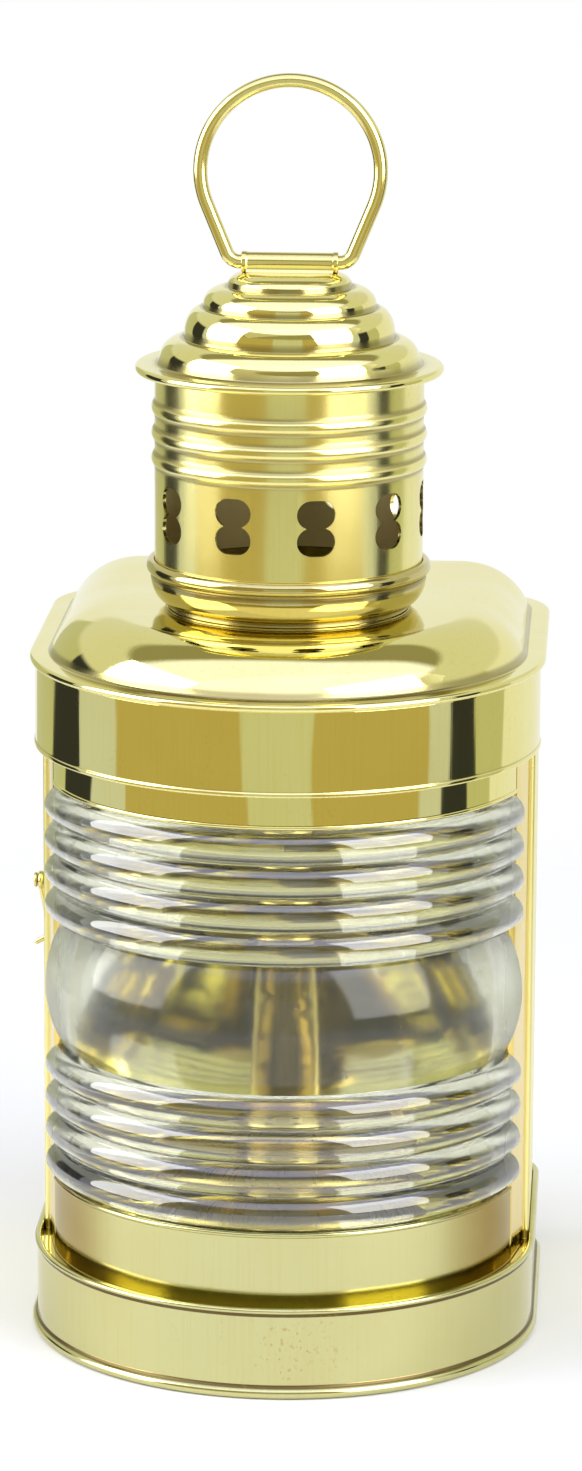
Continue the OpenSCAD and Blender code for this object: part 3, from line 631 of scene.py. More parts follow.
# Glass and the rings that hold it
lensPlan = {"axis": 2.5, "crest": 53.5, "groove": 51.2, "belly": 49.6, "rim": 50.4, "inner": 44.5,
            "span": 149, "low": 27.5, "ribsLow": 35.2, "pitch": 7.3, "ribs": 4, "bellyHigh": 28.4,
            "ribsTop": 122.0, "high": 127.0}
lensRing = {"outer": 51.5, "sheet": 0.8, "ledge": 5.0, "lowFoot": 17.7, "lowTop": 34.8, "highFoot": 122.4,
            "highTop": 148.0, "lip": 0.55}


def crown(low, high, edge, crest, steps):  # a convex arc from edge to crest and back
    half = (high - low) / 2
    out = crest - edge
    radius = (half * half + out * out) / (2 * out)
    swing = math.degrees(math.asin(half / radius))
    return arc(crest - radius, (low + high) / 2, radius, -swing, swing, steps)


def makeLens():
    p = lensPlan
    outer = [(p["rim"], p["low"] + 0.4), (p["rim"], p["ribsLow"] - 0.2)]
    for i in range(p["ribs"]):
        low = p["ribsLow"] + i * p["pitch"]
        outer += crown(low + 0.12, low + p["pitch"] - 0.12, p["groove"], p["crest"], 14)
    belly = p["ribsLow"] + p["ribs"] * p["pitch"]
    outer += crown(belly + 0.15, belly + p["bellyHigh"] - 0.15, p["belly"], p["crest"], 40)
    for i in range(p["ribs"]):
        low = belly + p["bellyHigh"] + i * p["pitch"]
        outer += crown(low + 0.12, low + p["pitch"] - 0.12, p["groove"], p["crest"], 14)
    outer += [(p["rim"], p["ribsTop"] + 0.2), (p["rim"], p["high"] - 0.4)]
    inner = [(p["rim"] - 0.4, p["high"]), (p["inner"] + 0.5, p["high"]), (p["inner"], p["high"] - 0.5)]
    inner += [(p["inner"], p["low"] + 0.5), (p["inner"] + 0.5, p["low"]), (p["rim"] - 0.4, p["low"])]
    pane = revolve("lensGlass", outer + inner, glassClear, 150, p["span"], (0, p["axis"]), True, 45)
    settle(pane, "lantern", "lens")


def makeLensRings():
    r, t, lip, ledge = lensRing["outer"], lensRing["sheet"], lensRing["lip"], lensRing["ledge"]
    low, high = lensPlan["low"] - t, lensPlan["high"]
    for name, node, foot, top, shelf, rolled in (
            ("lowerLensRing", "lower_lens_ring", lensRing["lowFoot"], lensRing["lowTop"], low, 1),
            ("upperLensRing", "upper_lens_ring", lensRing["highFoot"], lensRing["highTop"], high, -1)):
        edge = top if rolled > 0 else foot
        wall = [(r - t, foot, 0.2), (r, foot, 0.2), (r, top, 0.2), (r - t, top, 0.2),
                (r - t, shelf + t, 0.2), (r - ledge, shelf + t, 0.3), (r - ledge, shelf, 0.3),
                (r - t, shelf, 0.2)]
        metal = shadedBrassRing if rolled > 0 else brassSheet
        shell = revolve(name + "Wall", rounded(wall, 3), metal, 128, lensPlan["span"],
                        (0, lensPlan["axis"]), True, 40)
        bead = arc(r - t / 2 + 0.1, edge - rolled * lip, lip + 0.05, 0, 345, 22)
        roll = revolve(name + "Roll", bead, metal, 128, lensPlan["span"], (0, lensPlan["axis"]), True, 40)
        settle(joinPieces(name, [shell, roll]), "lantern", node)


makeLens()
makeLensRings()
print("glass and rings done")

# Housing: jambs, side plates and door
housing = {"sheet": 0.8, "low": 17.7, "high": 148.0, "shell": 53.5, "back": 66.6, "corner": 18.1,
           "hem": 0.6, "front": 5.0, "hingeX": 24.0, "doorEdge": 42.0, "gap": 0.4, "doorLow": 20.3,
           "doorHigh": 147.6, "stop": 6.0}


def mirrored(path):
    return [(-x, y) for x, y in path]


def sideRun(stopY=None, stopX=None):  # middle line of the right side's sheet, from its rolled front edge
    h = housing
    x = h["shell"] - h["sheet"] / 2
    line = list(reversed(arc(x - h["hem"], h["front"], h["hem"], 0, -285, 30)))
    if stopY:
        return line + [(x, h["front"] + (stopY - h["front"]) * i / 8) for i in range(1, 9)]
    flat = h["back"] - h["corner"]
    line += [(x, h["front"] + (flat - h["front"]) * i / 8) for i in range(1, 8)]
    line += arc(h["shell"] - h["corner"], flat, h["corner"] - h["sheet"] / 2, 0, 90, 28)
    return line + [(stopX, h["back"] - h["sheet"] / 2)]


def makeHousing():
    h = housing
    t = h["sheet"]
    turn = math.radians(lensPlan["span"] / 2 - 90)
    edge = Vector((math.cos(turn), math.sin(turn)))
    centre = Vector((0, lensPlan["axis"]))
    bend = centre + edge * (lensRing["outer"] - t / 2)
    heel = centre + edge * (lensRing["outer"] - lensRing["ledge"] - t)
    off = Vector((-edge.y, edge.x)) * (t / 2 + 0.1)
    foot = Vector((h["shell"] - 1.0 - t / 2, h["front"] - 1.15))
    bent = rounded([tuple(heel + off), (*(bend + off), 0.9), tuple(foot)], 8, False)
    for name, node, flip in (("rightJamb", "right_jamb", 1), ("leftJamb", "left_jamb", -1)):
        line = bent if flip > 0 else mirrored(bent)
        settle(sheetStrip(name, line, t, h["low"], h["high"], brassJamb), "lantern", node)
    right = sheetStrip("rightSidePlate", sideRun(None, h["hingeX"]), t, h["low"], h["high"], brassPlate)
    settle(right, "lantern", "right_side_plate")
    plate = sheetStrip("leftPlate", mirrored(sideRun(h["doorEdge"])), t, h["low"], h["high"], brassPlate,
                       side=-1)
    x = -h["shell"] + t + h["gap"] + t / 2
    stopLine = [(-h["shell"] + t / 2 + 0.2, h["doorEdge"] - h["stop"] - 0.9, 0),
                (x, h["doorEdge"] - h["stop"] + 1.2, 1), (x, h["doorEdge"] + h["stop"], 0)]
    stop = sheetStrip("doorStop", rounded(stopLine, 6, False), t, h["low"], h["high"], brassPlate, side=-1)
    settle(joinPieces("leftSidePlate", [plate, stop]), "lantern", "left_side_plate")
    x = h["shell"] - t / 2
    flat = h["back"] - h["corner"]
    doorLine = [(x, h["doorEdge"] + h["gap"] + (flat - h["doorEdge"] - h["gap"]) * i / 4) for i in range(4)]
    doorLine += arc(h["shell"] - h["corner"], flat, h["corner"] - t / 2, 0, 90, 28)
    far = -h["hingeX"] + h["gap"]
    start = h["shell"] - h["corner"]
    doorLine += [(start + (far - start) * i / 10, h["back"] - t / 2) for i in range(1, 11)]
    door = sheetStrip("rearDoor", mirrored(doorLine), t, h["doorLow"], h["doorHigh"], brassPlate, side=-1)
    settle(door, "door", "rear_door")


makeHousing()
print("housing done")

# Hinges
hinge = {"x": 24.0, "y": 68.8, "barrel": 1.99, "pin": 0.9, "clear": 0.06, "high": 24.0, "gap": 0.3,
         "leaf": 9.6, "leafGap": 2.2, "leafIn": 1.8, "sheet": 0.8, "feet": (32.3, 111.6), "rivet": 1.15,
         "rivets": 3, "rivetStep": 8.4, "rivetLow": 3.6, "rivetOut": 6.6}


def leafShape(name, slots, side, bore):
    h = hinge
    knuckle = (h["high"] - 2 * h["gap"]) / 3
    made = []
    for foot in h["feet"]:
        for slot in slots:
            low = foot + slot * (knuckle + h["gap"])
            top = low + knuckle
            ring = rounded([(bore, low, 0.1), (h["barrel"], low, 0.25), (h["barrel"], top, 0.25),
                            (bore, top, 0.1)], 3)
            made.append(shifted(revolve("barrel", ring, brassSmall, 40, sharp=40), h["x"], h["y"]))
            wrap = [(0.4, h["barrel"] - 0.35), (1.6, 1.75), (2.2, h["leafIn"]), (3.6, h["leafIn"])]
            wrap = [(h["x"] + side * x, h["y"] - y) for x, y in wrap]
            made.append(sheetStrip("wrap", wrap, h["sheet"], low, low + knuckle, brassSmall, 0.2))
        near = h["barrel"] + 0.6
        plate = [(h["x"] + side * (near + (h["leaf"] - near) * i / 4), h["y"] - h["leafIn"])
                 for i in range(5)]
        made.append(sheetStrip("plate", plate, h["sheet"], foot, foot + h["high"], brassSmall, 0.25))
    return joinPieces(name, made)


def rivetRow(name, body, side):
    h = hinge
    rows = []
    for foot in h["feet"]:
        row = studs.make(blank(name), {"Count": h["rivets"], "Step": (0, 0, h["rivetStep"] * mm),
                                       "Radius": h["rivet"] * mm, "Flat": 0.5, "Material": brassSmall})
        rows.append(shifted(row, h["x"] + side * h["rivetOut"], h["y"] - h["leafGap"] + h["sheet"],
                            foot + h["rivetLow"]))
    settle(joinPieces(name, rows), body)


def makeHinges():
    h = hinge
    settle(leafShape("frameHingeLeaves", (0, 2), 1, h["pin"]), "lantern", "frame_hinge_leaves")
    settle(leafShape("doorHingeLeaves", (1,), -1, h["pin"] + h["clear"]), "door", "door_hinge_leaves")
    head = (h["barrel"] + h["pin"]) / 2
    pins = []
    for foot in h["feet"]:
        low, top = foot - 0.8, foot + h["high"] + 0.8
        outline = [(0, low)] + arc(head - 0.7, low + 0.7, 0.7, -90, 0, 5) + [(head, foot)]
        outline += [(h["pin"], foot + 0.02), (h["pin"], foot + h["high"] - 0.02), (head, foot + h["high"])]
        outline += arc(head - 0.7, top - 0.7, 0.7, 0, 90, 5) + [(0, top)]
        pin = revolve("pin", outline, brassSmall, 32, across=False, sharp=40)
        pins.append(shifted(pin, h["x"], h["y"]))
    settle(joinPieces("hingePins", pins), "lantern", "hinge_pins")
    rivetRow("frameRivets", "lantern", 1)
    rivetRow("doorRivets", "door", -1)


makeHinges()
print("hinges done")

# Latch: distances out from the left side plate
latch = {"wall": -53.5, "y": 33.0, "z": 90.0, "wire": 0.6, "pin": 0.8, "clear": 0.06, "standoff": 2.6,
         "gap": 0.25, "head": 1.7, "headThick": 0.6, "length": 12.5, "low": 0.7, "tip": 3.6, "tipTurn": 60,
         "keeperY": 43.2, "keeperThick": 1.0}


def makeLatch():
    k = latch
    mid = k["standoff"] + k["gap"] + k["wire"]
    end = k["low"] + k["wire"]
    headIn = mid + k["wire"] + k["gap"]
    outer = headIn + k["headThick"]
    post = [(0, -1.6), (k["head"] - 0.3, -1.6), (k["head"], -1.3), (k["head"], -0.8), (k["pin"], -0.78),
            (k["pin"], -0.02), (k["head"], 0), (k["head"] - 0.45, 0.9), (1.15, k["standoff"]),
            (k["pin"], k["standoff"] + 0.02), (k["pin"], headIn - 0.02), (k["head"] - 0.15, headIn)]
    post += arc(k["head"] - 0.35, headIn + 0.3, 0.35, -30, 70, 5) + [(0.7, outer), (0, outer)]
    pivot = revolve("latchPivot", post, brassSmall, 40, across=False, sharp=40)
    lay = Quaternion((0, 1, 0), math.radians(-90))
    settle(shifted(pivot, k["wall"], k["y"], k["z"], lay), "lantern", "latch_pivot")
    eye = k["pin"] + k["clear"] + k["wire"]
    ring = [(k["wall"] - mid, k["y"] + eye * s, k["z"] + eye * c) for c, s in arc(0, 0, 1, 0, 360, 36)[:-1]]
    loop = wirePiece("hookEye", ring, k["wire"], brassSmall, True)
    out = math.radians(k["tipTurn"])
    stem = [(mid, -eye), (end + 0.18, -k["length"] + 1.0), (end, -k["length"], 0.9),
            (end + k["tip"] * math.sin(out), -k["length"] - k["tip"] * math.cos(out))]
    stem = rounded(stem, 8, False)
    line = [(k["wall"] - d, k["y"], k["z"] + z) for d, z in stem]
    leg = wirePiece("hookLeg", line, k["wire"], brassSmall)
    tip = stem[-1]
    bulb = [(0, -k["wire"])] + arc(0, 0, k["wire"], -80, 80, 10) + [(0, k["wire"])]
    ball = revolve("hookTip", bulb, brassSmall, 24, across=False)
    shifted(ball, k["wall"] - tip[0], k["y"], k["z"] + tip[1])
    settle(joinPieces("latchHook", [loop, leg, ball]), "latch", "latch_hook")


def makeKeeper():
    k = latch
    low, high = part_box("latch_keeper")
    lean = math.atan2(k["standoff"] + k["gap"] - k["low"], k["length"] - k["pin"] - k["clear"] - k["wire"])
    along = k["y"] + k["length"] - k["keeperY"] - k["keeperThick"] / 2
    mid = k["low"] + k["wire"] + along * math.tan(lean)
    slot = k["wire"] / math.cos(lean) + k["gap"] + k["keeperThick"] / 2 * math.tan(lean)
    reach = -(low.x / mm) + k["wall"]
    bottom, top, floor = low.z / mm, high.z / mm, k["z"] - k["wire"] - k["gap"]
    outline = rounded([(0, bottom), (reach, bottom, 1.2), (reach, top, 0.45), (mid + slot, top, 0.3),
                       (mid + slot, floor, 0.6), (mid - slot, floor, 0.6), (mid - slot, top, 0.2),
                       (0, top)], 5)
    near, far = k["keeperY"], k["keeperY"] + k["keeperThick"]
    rings = [[(k["wall"] - d, y, z) for d, z in outline] for y in (near, far)]
    tab = ringMesh("latchKeeper", rings, brassSmall, False, True, True, None, 35)
    settle(tab, "door", "latch_keeper")


makeLatch()
makeKeeper()
print("latch done")

# Hood
hood = {"low": 130.7, "plate": 148.8, "flangeTop": 150.5, "top": 160.5, "roll": 0.85, "over": 1.1,
        "foot": 3.3, "round": 15.0, "sheet": 0.8, "hole": 24.8, "skirtTurn": 3.4, "lip": 0.25}


def makeHood():
    h = hood
    t, r = h["sheet"], bodyPlan["radius"]
    lip = r + h["lip"]
    skirt = rounded([(r - t, h["low"], 0.2), (lip, h["low"], 0.25), (lip, h["low"] + 0.8, 0.25),
                     (r, h["low"] + 1.1, 0.3), (r, h["plate"], 0.1), (r - t, h["plate"], 0.1)], 4)
    band = revolve("hoodSkirt", skirt, brassSheet, 160, 180 + 2 * h["skirtTurn"], (0, 0), True, 40)
    settle(band, "lantern", "hood_skirt")
    wide = math.sqrt(h["round"] ** 2 - (h["round"] - (h["top"] - h["flangeTop"])) ** 2)
    middle = (-h["foot"] - wide, h["top"] - h["round"])
    start = math.degrees(math.asin((h["flangeTop"] - middle[1]) / h["round"]))
    rollX = h["over"] - h["roll"]
    outer = arc(rollX, h["plate"] + h["roll"], h["roll"], -90, 90, 14)
    join = arc(middle[0], middle[1], h["round"], start + 5.5, 86, 30)
    corner = rounded([outer[-1], (-h["foot"] + 0.1, h["flangeTop"], 1.3), join[0]], 6, False)
    outer += corner[1:-1] + join
    inner = list(reversed(arc(middle[0], middle[1], h["round"] - t, start, 86, 24)))
    under = inner + [(-h["foot"] - t, h["plate"] + 0.05), (-h["foot"], h["plate"])]
    path = planPath()
    hole = h["hole"]
    steps = 8
    rings = []
    for p, n in path:
        ring = [(p[0] + n[0] * d, p[1] + n[1] * d, z) for d, z in outer]
        edge = ring[-1]
        a = math.atan2(edge[1], edge[0])
        rim = (hole * math.cos(a), hole * math.sin(a))
        for i in range(1, steps + 1):
            k = i / steps
            z = h["top"] - (h["top"] - edge[2]) * (1 - k) ** 2
            ring.append((edge[0] + (rim[0] - edge[0]) * k, edge[1] + (rim[1] - edge[1]) * k, z))
        first = (p[0] + n[0] * under[0][0], p[1] + n[1] * under[0][0], under[0][1])
        for i in range(steps, 0, -1):
            k = i / steps
            ring.append((first[0] + (rim[0] - first[0]) * k, first[1] + (rim[1] - first[1]) * k,
                         h["top"] - t - (h["top"] - t - first[2]) * (1 - k)))
        ring += [(p[0] + n[0] * d, p[1] + n[1] * d, z) for d, z in under]
        rings.append(ring)
    # Crease values where the dome rises from its flange, for painted shade there
    flat = [0.0] * len(rings[0])
    flat[len(outer) - len(join) - 5:len(outer) - len(join) + 2] = [0.5, 0.8, 1, 1, 0.8, 0.5, 0.2]
    dome = ringMesh("hoodDome", rings, brassSheet, True, True, False, flat)
    settle(dome, "lantern", "hood_dome")


makeHood()
print("hood done")

# Chimney and cap
chimney = {"radius": 28.7, "sheet": 0.8, "foot": 25.5, "domeTop": 160.5, "tubeFoot": 167.9, "tubeTop": 212.1,
           "bead": 3.0, "bowl": 4.6, "bowlHigh": 6.1, "fit": 0.06, "ribLow": 192.6, "ribStep": 5.5, "ribs": 3,
           "ribRound": 1.9, "ribOut": 0.7}
vent = {"count": 10, "turn": 15, "width": 8.2, "lobe": 6.1, "pitch": 5.8, "height": 182.3, "deep": 4.0}
cap = {"brim": 32.9, "roll": 0.9, "tiers": (27.8, 22.5, 18.5, 13.2), "rises": (5.6, 6.5, 4.4, 3.0),
       "low": 212.1, "sheet": 0.8, "swell": 0.92}


def ventCutter():
    v = vent
    half, wide = v["lobe"] / 2, v["width"] / 2 - v["lobe"] / 2
    rise = v["pitch"] / 2
    meet = math.sqrt(half * half - rise * rise)
    top = math.degrees(math.atan2(-rise, meet))
    line = []
    line += [(wide + half * c, rise + half * s) for c, s in arc(0, 0, 1, top, 90, 16)]
    line += [(-wide + half * c, rise + half * s) for c, s in arc(0, 0, 1, 90, 180 - top, 16)]
    line += [(-x, -y) for x, y in line]
    front, deep = -chimney["radius"] - 2, -chimney["radius"] + v["deep"]
    rings = [[(x, y, z) for x, z in line] for y in (front, deep)]
    return ringMesh("ventCutter", rings, brassSheet, False, True, True)


def makeChimney():
    c = chimney
    t, fit = c["sheet"], c["radius"] + c["fit"]
    mid = c["tubeFoot"] + c["bead"] / 2
    cup = rounded([(c["foot"] - t, c["domeTop"] + 0.02, 0.1), (c["foot"] + 0.4, c["domeTop"] + 0.02, 0.2),
                   (c["foot"] + 0.4, c["domeTop"] + 0.7, 0.2)], 4, False)
    for i in range(15):  # a round bowl up to the bead
        a = math.radians(-80 + 80 * i / 14)
        cup.append((fit + t + c["bowl"] * (math.cos(a) - 1),
                    c["tubeFoot"] - 0.6 + c["bowlHigh"] * math.sin(a)))
    cup += arc(fit + 0.25, mid, c["bead"] / 2, -72, 72, 16)
    cup += [(fit + 0.3, c["tubeFoot"] + c["bead"]), (fit + 0.02, c["tubeFoot"] + c["bead"] - 0.2),
            (fit + 0.02, c["tubeFoot"] + 0.05), (c["radius"] - t, c["tubeFoot"])]
    settle(revolve("chimneyCup", cup, shadedBrassCup), "lantern", "chimney_cup")
    outer = [(c["radius"], c["tubeFoot"])]
    for i in range(c["ribs"]):
        z = c["ribLow"] + i * c["ribStep"]
        out, r = c["ribOut"], c["ribRound"]
        reach = math.sqrt(r * r - (r - out) ** 2)
        half = math.degrees(math.asin(reach / r)) - 8
        swell = arc(c["radius"] + out - r, z, r, -half, half, 12)
        outer += [(c["radius"], z - reach - 0.55), (c["radius"] + 0.05, z - reach - 0.2)] + swell
        outer += [(c["radius"] + 0.05, z + reach + 0.2), (c["radius"], z + reach + 0.55)]
    outer.append((c["radius"], c["tubeTop"]))
    inner = [(x - t, z) for x, z in reversed(outer)]
    tube = revolve("chimneyTube", outer + inner, brassChimney, 256)
    cutter = ventCutter()
    tube = ringCut.make(tube, {"Cutter": cutter, "Count": vent["count"],
                               "First turn": math.radians(vent["turn"]), "Height": vent["height"] * mm,
                               "Material": brassChimney}, 32)
    bpy.data.objects.remove(cutter)
    settle(tube, "lantern", "chimney_tube")


def makeCap():
    c = cap
    t = c["sheet"]
    brimTop = c["low"] + t
    rollX = c["brim"] - c["roll"]
    outer = arc(rollX, brimTop - c["roll"], c["roll"], -200, 90, 20)
    outer += [(c["tiers"][0] + 1.4, brimTop + 0.05), (c["tiers"][0] + 0.5, brimTop + 0.2)]
    inner = [(rollX - c["roll"] - 0.3, c["low"]), (c["tiers"][0] - t, c["low"])]
    low = brimTop + 0.5
    for i, wide in enumerate(c["tiers"]):
        top = brimTop + sum(c["rises"][:i + 1])
        inside = c["tiers"][i + 1] if i + 1 < len(c["tiers"]) else wide - 5
        for k in range(3, 21):  # a swelling quarter round, then a small hollow
            a = math.pi / 2 * k / 20
            outer.append((inside + (wide - inside) * math.cos(a) ** c["swell"],
                          low + (top - low) * math.sin(a) ** c["swell"]))
        if i + 1 < len(c["tiers"]):
            outer += [(inside + 0.02, top + 0.12), (inside - 0.1, top + 0.4)]
        inner += [(wide - t, top - 3.2), (wide - t - 0.9, top - 1.6), (inside - t, top - t)]
        low = top + 0.3
    peak = brimTop + sum(c["rises"])
    outer += [(c["tiers"][-1] - 6, peak), (0, peak)]
    inner.append((0, peak - t))
    settle(revolve("chimneyCap", outer + list(reversed(inner)), brassSheet, 192), "lantern", "chimney_cap")


makeChimney()
makeCap()
print("chimney and cap done")

# Bail and its tube
bailPlan = {"z": 234.46, "wire": 1.5, "top": 19.1, "rise": 38.5, "bend": 3.0, "half": 10.65, "tube": 2.06,
            "bore": 1.56, "tubeHalf": 10.25, "saddle": 9.25}


def makeBail():
    b = bailPlan
    middle = b["rise"] - b["top"]
    dx, dz = -b["half"], middle - b["bend"]
    span = math.hypot(dx, dz)
    leg = math.degrees(math.atan2(dz, dx) - math.acos((b["bend"] - b["top"]) / span))
    right = arc(b["half"], b["bend"], b["bend"], -90, leg, 14)
    crest = arc(0, middle, b["top"], leg, 180 - leg, 72)
    left = [(-x, z) for x, z in reversed(right)]
    line = right + crest + left + [(-b["half"] * (1 - k / 6), 0) for k in range(1, 6)]
    line += [(b["half"] * k / 6, 0) for k in range(0, 6)]
    loop = wirePiece("bailWire", [(x, 0, b["z"] + z) for x, z in line], b["wire"], brassSmall, True, 32)
    settle(loop, "bail", "bail")


def makeBailTube():
    b = bailPlan
    end, flare = b["tubeHalf"], 0.18
    wide = b["tube"] + flare
    outline = rounded([(b["bore"], -end, 0.15), (wide, -end, 0.2), (wide, -end + 0.9, 0.3),
                       (b["tube"], -end + 1.3, 0.4), (b["tube"], end - 1.3, 0.4), (wide, end - 0.9, 0.3),
                       (wide, end, 0.2), (b["bore"], end, 0.15)], 4)
    tube = revolve("tube", outline, brassSmall, 48, sharp=40)
    shifted(tube, 0, 0, b["z"], Quaternion((0, 1, 0), math.radians(90)))
    low = b["z"] - b["tube"]
    saddle = rounded([(-2.1, low + 0.02), (2.1, low + 0.02), (1.75, low + 0.7, 0.5), (1.72, b["z"] - 0.6),
                      (1.4, b["z"] - 0.9), (-1.4, b["z"] - 0.9), (-1.72, b["z"] - 0.6),
                      (-1.75, low + 0.7, 0.5)], 4)
    rings = [[(x, y, z) for y, z in saddle] for x in (-b["saddle"], b["saddle"])]
    foot = ringMesh("saddle", rings, brassSmall, False, True, True, None, 35)
    settle(joinPieces("bailTube", [tube, foot]), "lantern", "bail_tube")


makeBail()
makeBailTube()
print("bail done")

# Oil font and burner
font = {"deck": 17.7, "radius": 29.5, "high": 24.0, "round": 6.0, "wall": 0.7, "seat": 4.0,
        "seatGap": 0.3, "sheet": 0.8, "collar": 8.5, "collarWall": 2.0, "collarHigh": 5.3}
burner = {"drum": 11.0, "low": 47.0, "high": 57.0, "wall": 0.8, "lip": 1.0, "neckFoot": 42.2, "hole": 0.9,
          "count": 12, "rows": (49.4, 55.4), "floor": 7.6, "spindleY": -4.22, "spindleZ": 52.8,
          "spindle": 1.1, "fit": 0.06}
wickPlan = {"width": 12.6, "thick": 2.2, "gap": 0.2, "wall": 0.8, "low": 22.0, "top": 72.5,
            "tubeLow": 39.7, "tubeTop": 71.0, "window": (4.5, 3.5)}
raiser = {"stub": 12.2, "knobX": 23.0, "knob": 6.0, "knobThick": 2.2, "grips": 18, "wheel": 3.0, "teeth": 10,
          "wheelWidth": 2.0, "pitch": 6.0}


def makeFont():
    f = font
    low, top = f["deck"], f["deck"] + f["high"]
    r, w = f["radius"], f["wall"]
    bore = f["collar"] + 0.2
    shell = rounded([(0, low), (r, low, 0.8), (r, low + 8.6), (r, low + 9.0), (r, top - f["round"]),
                     (r, top, f["round"]), (bore, top, 0.2), (bore, top - w, 0.1),
                     (r - w, top - w, f["round"] - w), (r - w, low + w, 0.6), (0, low + w)], 9, False)
    settle(revolve("oilFont", shell, brassBurner, 128, across=False, sharp=50), "lantern", "font")
    inner = r + f["seatGap"]
    edge, rim = inner + f["sheet"], low + f["seat"]
    seat = rounded([(inner, low, 0.1), (edge, low, 0.1), (edge, rim, 0.3), (inner, rim, 0.3)], 4)
    settle(revolve("fontSeat", seat, brassBurner, 128, sharp=40), "lantern", "font_seat")
    collar, wall = f["collar"], f["collarWall"]
    outer = [(collar + wall, top), (collar + wall, top + 0.9)]
    for i in range(3):
        outer += arc(collar + wall - 0.35, top + 1.6 + i * 1.1, 0.45, -60, 60, 6)
    rim = top + f["collarHigh"]
    outer += [(collar + wall, top + 4.6), (collar + wall - 0.3, rim), (collar, rim), (collar, top)]
    settle(revolve("fontCollar", outer, brassBurner, 96, sharp=50), "lantern", "font_collar")


def makeBurner():
    b = burner
    r, w = b["drum"], b["wall"]
    neck = font["collar"] - b["fit"]
    low, high, lip = b["low"], b["high"], r + b["lip"]
    outline = rounded([(neck - w, b["neckFoot"], 0.1), (neck, b["neckFoot"], 0.1), (neck, low, 0.1),
                       (lip, low, 0.3), (lip, low + w, 0.3), (r, low + w, 0.3), (r, high, 0.2),
                       (r - w, high, 0.2), (r - w, low + w, 0.2), (b["floor"], low + w, 0),
                       (b["floor"], low - w, 0), (neck - w, low - w, 0.1)], 3)
    drum = revolve("burnerDrum", outline, brassBurner, 96)
    for z in b["rows"]:
        hole = revolve("hole", [(b["hole"], -1), (b["hole"], 1), (0, 1), (0, -1)], brassBurner, 20)
        shifted(hole, 0, -r + w / 2, 0, Quaternion((1, 0, 0), math.radians(90)))
        drum.name = "burnerDrum"
        drum = ringCut.make(drum, {"Cutter": hole, "Count": b["count"], "First turn": math.pi / b["count"],
                                   "Height": z * mm, "Material": brassBurner}, 40)
        bpy.data.objects.remove(hole)
    floor = burnerFloor()
    settle(joinPieces("burnerDrum", [drum, floor]), "lantern", "burner_body")


def burnerFloor():  # plate across the drum with the wick tube's opening
    wide, thick = wickPlan["width"] / 2 + 1.0, wickPlan["thick"] / 2 + 1.0
    slot, rim = [], []
    for i in range(64):
        a = math.tau * i / 64
        c, s = math.cos(a), math.sin(a)
        k = min(wide / abs(c) if c else 99, thick / abs(s) if s else 99)
        slot.append((k * c, k * s))
        rim.append(((burner["floor"] + 0.1) * c, (burner["floor"] + 0.1) * s))
    low, high = burner["low"] - burner["wall"], burner["low"] + burner["wall"]
    rings = [[(*p, z) for p in line] for line, z in ((rim, low), (slot, low), (slot, high), (rim, high))]
    turned = [[ring[i] for ring in rings] for i in range(64)]
    return ringMesh("floor", turned, brassBurner, True, True, False, None, 40)


def makeCone():  # domed cap with a slot for the flame
    r, low = burner["drum"], burner["high"]
    shell = arc(0, low, r, 0, 90, 26) + list(reversed(arc(0, low, r - burner["wall"], 0, 90, 26)))
    dome = revolve("burnerCone", shell, brassBurner, 96, across=True)
    wide, thick = wickPlan["width"] / 2 + 2.2, wickPlan["thick"] / 2 + 2.2
    slot = ringMesh("slot", flatTube(wide, thick, 0, 20, 1.0), brassBurner, False, True, True)
    dome = ringCut.make(dome, {"Cutter": slot, "Count": 1, "First turn": 0.0, "Height": low * mm,
                               "Material": brassBurner}, 40)
    bpy.data.objects.remove(slot)
    settle(dome, "lantern", "burner_cone")


def flatTube(wide, thick, low, high, corner, rows=2):  # rings of a flat outline, from low to high
    outline = rounded([(-wide, -thick, corner), (wide, -thick, corner), (wide, thick, corner),
                       (-wide, thick, corner)], 5)
    return [[(x, y, low + (high - low) * i / (rows - 1)) for x, y in outline] for i in range(rows)]


def makeWick():
    w = wickPlan
    wide, thick = w["width"] / 2 + w["gap"], w["thick"] / 2 + w["gap"]
    inner = flatTube(wide, thick, w["tubeLow"], w["tubeTop"], 0.5)
    outer = flatTube(wide + w["wall"], thick + w["wall"], w["tubeLow"], w["tubeTop"], 1.1)
    walls = [outer[0], outer[1], inner[1], inner[0]]
    turned = [[ring[i] for ring in walls] for i in range(len(inner[0]))]
    tube = ringMesh("wickTube", turned, brassBurner, True, True, False, None, 40)
    x, z = w["window"]
    rings = [[(-x, y, -z), (x, y, -z), (x, y, z), (-x, y, z)] for y in (-4.0, 0.0)]
    window = ringMesh("window", rings, brassBurner, False, True, True)
    tube = ringCut.make(tube, {"Cutter": window, "Count": 1, "First turn": 0.0,
                               "Height": burner["spindleZ"] * mm, "Material": brassBurner}, 40)
    bpy.data.objects.remove(window)
    settle(tube, "lantern", "wick_tube")
    rows = 100
    rings = flatTube(w["width"] / 2, w["thick"] / 2, w["low"], w["top"], 0.9, rows)
    for i, ring in enumerate(rings):  # woven ribs along the tape, and a frayed top
        pinch = 1 - 0.02 * (i % 2)
        fray = 0.25 if i == rows - 1 else 0
        rings[i] = [(x * pinch, y * (pinch - 0.05 * math.sin(x * 5.2) ** 2),
                     z - fray * (1 + math.sin(x * 7.1))) for x, y, z in ring]
    tape = ringMesh("wickTape", rings, cottonTape, False, True, True, None, 60)
    settle(tape, "wick", "wick")


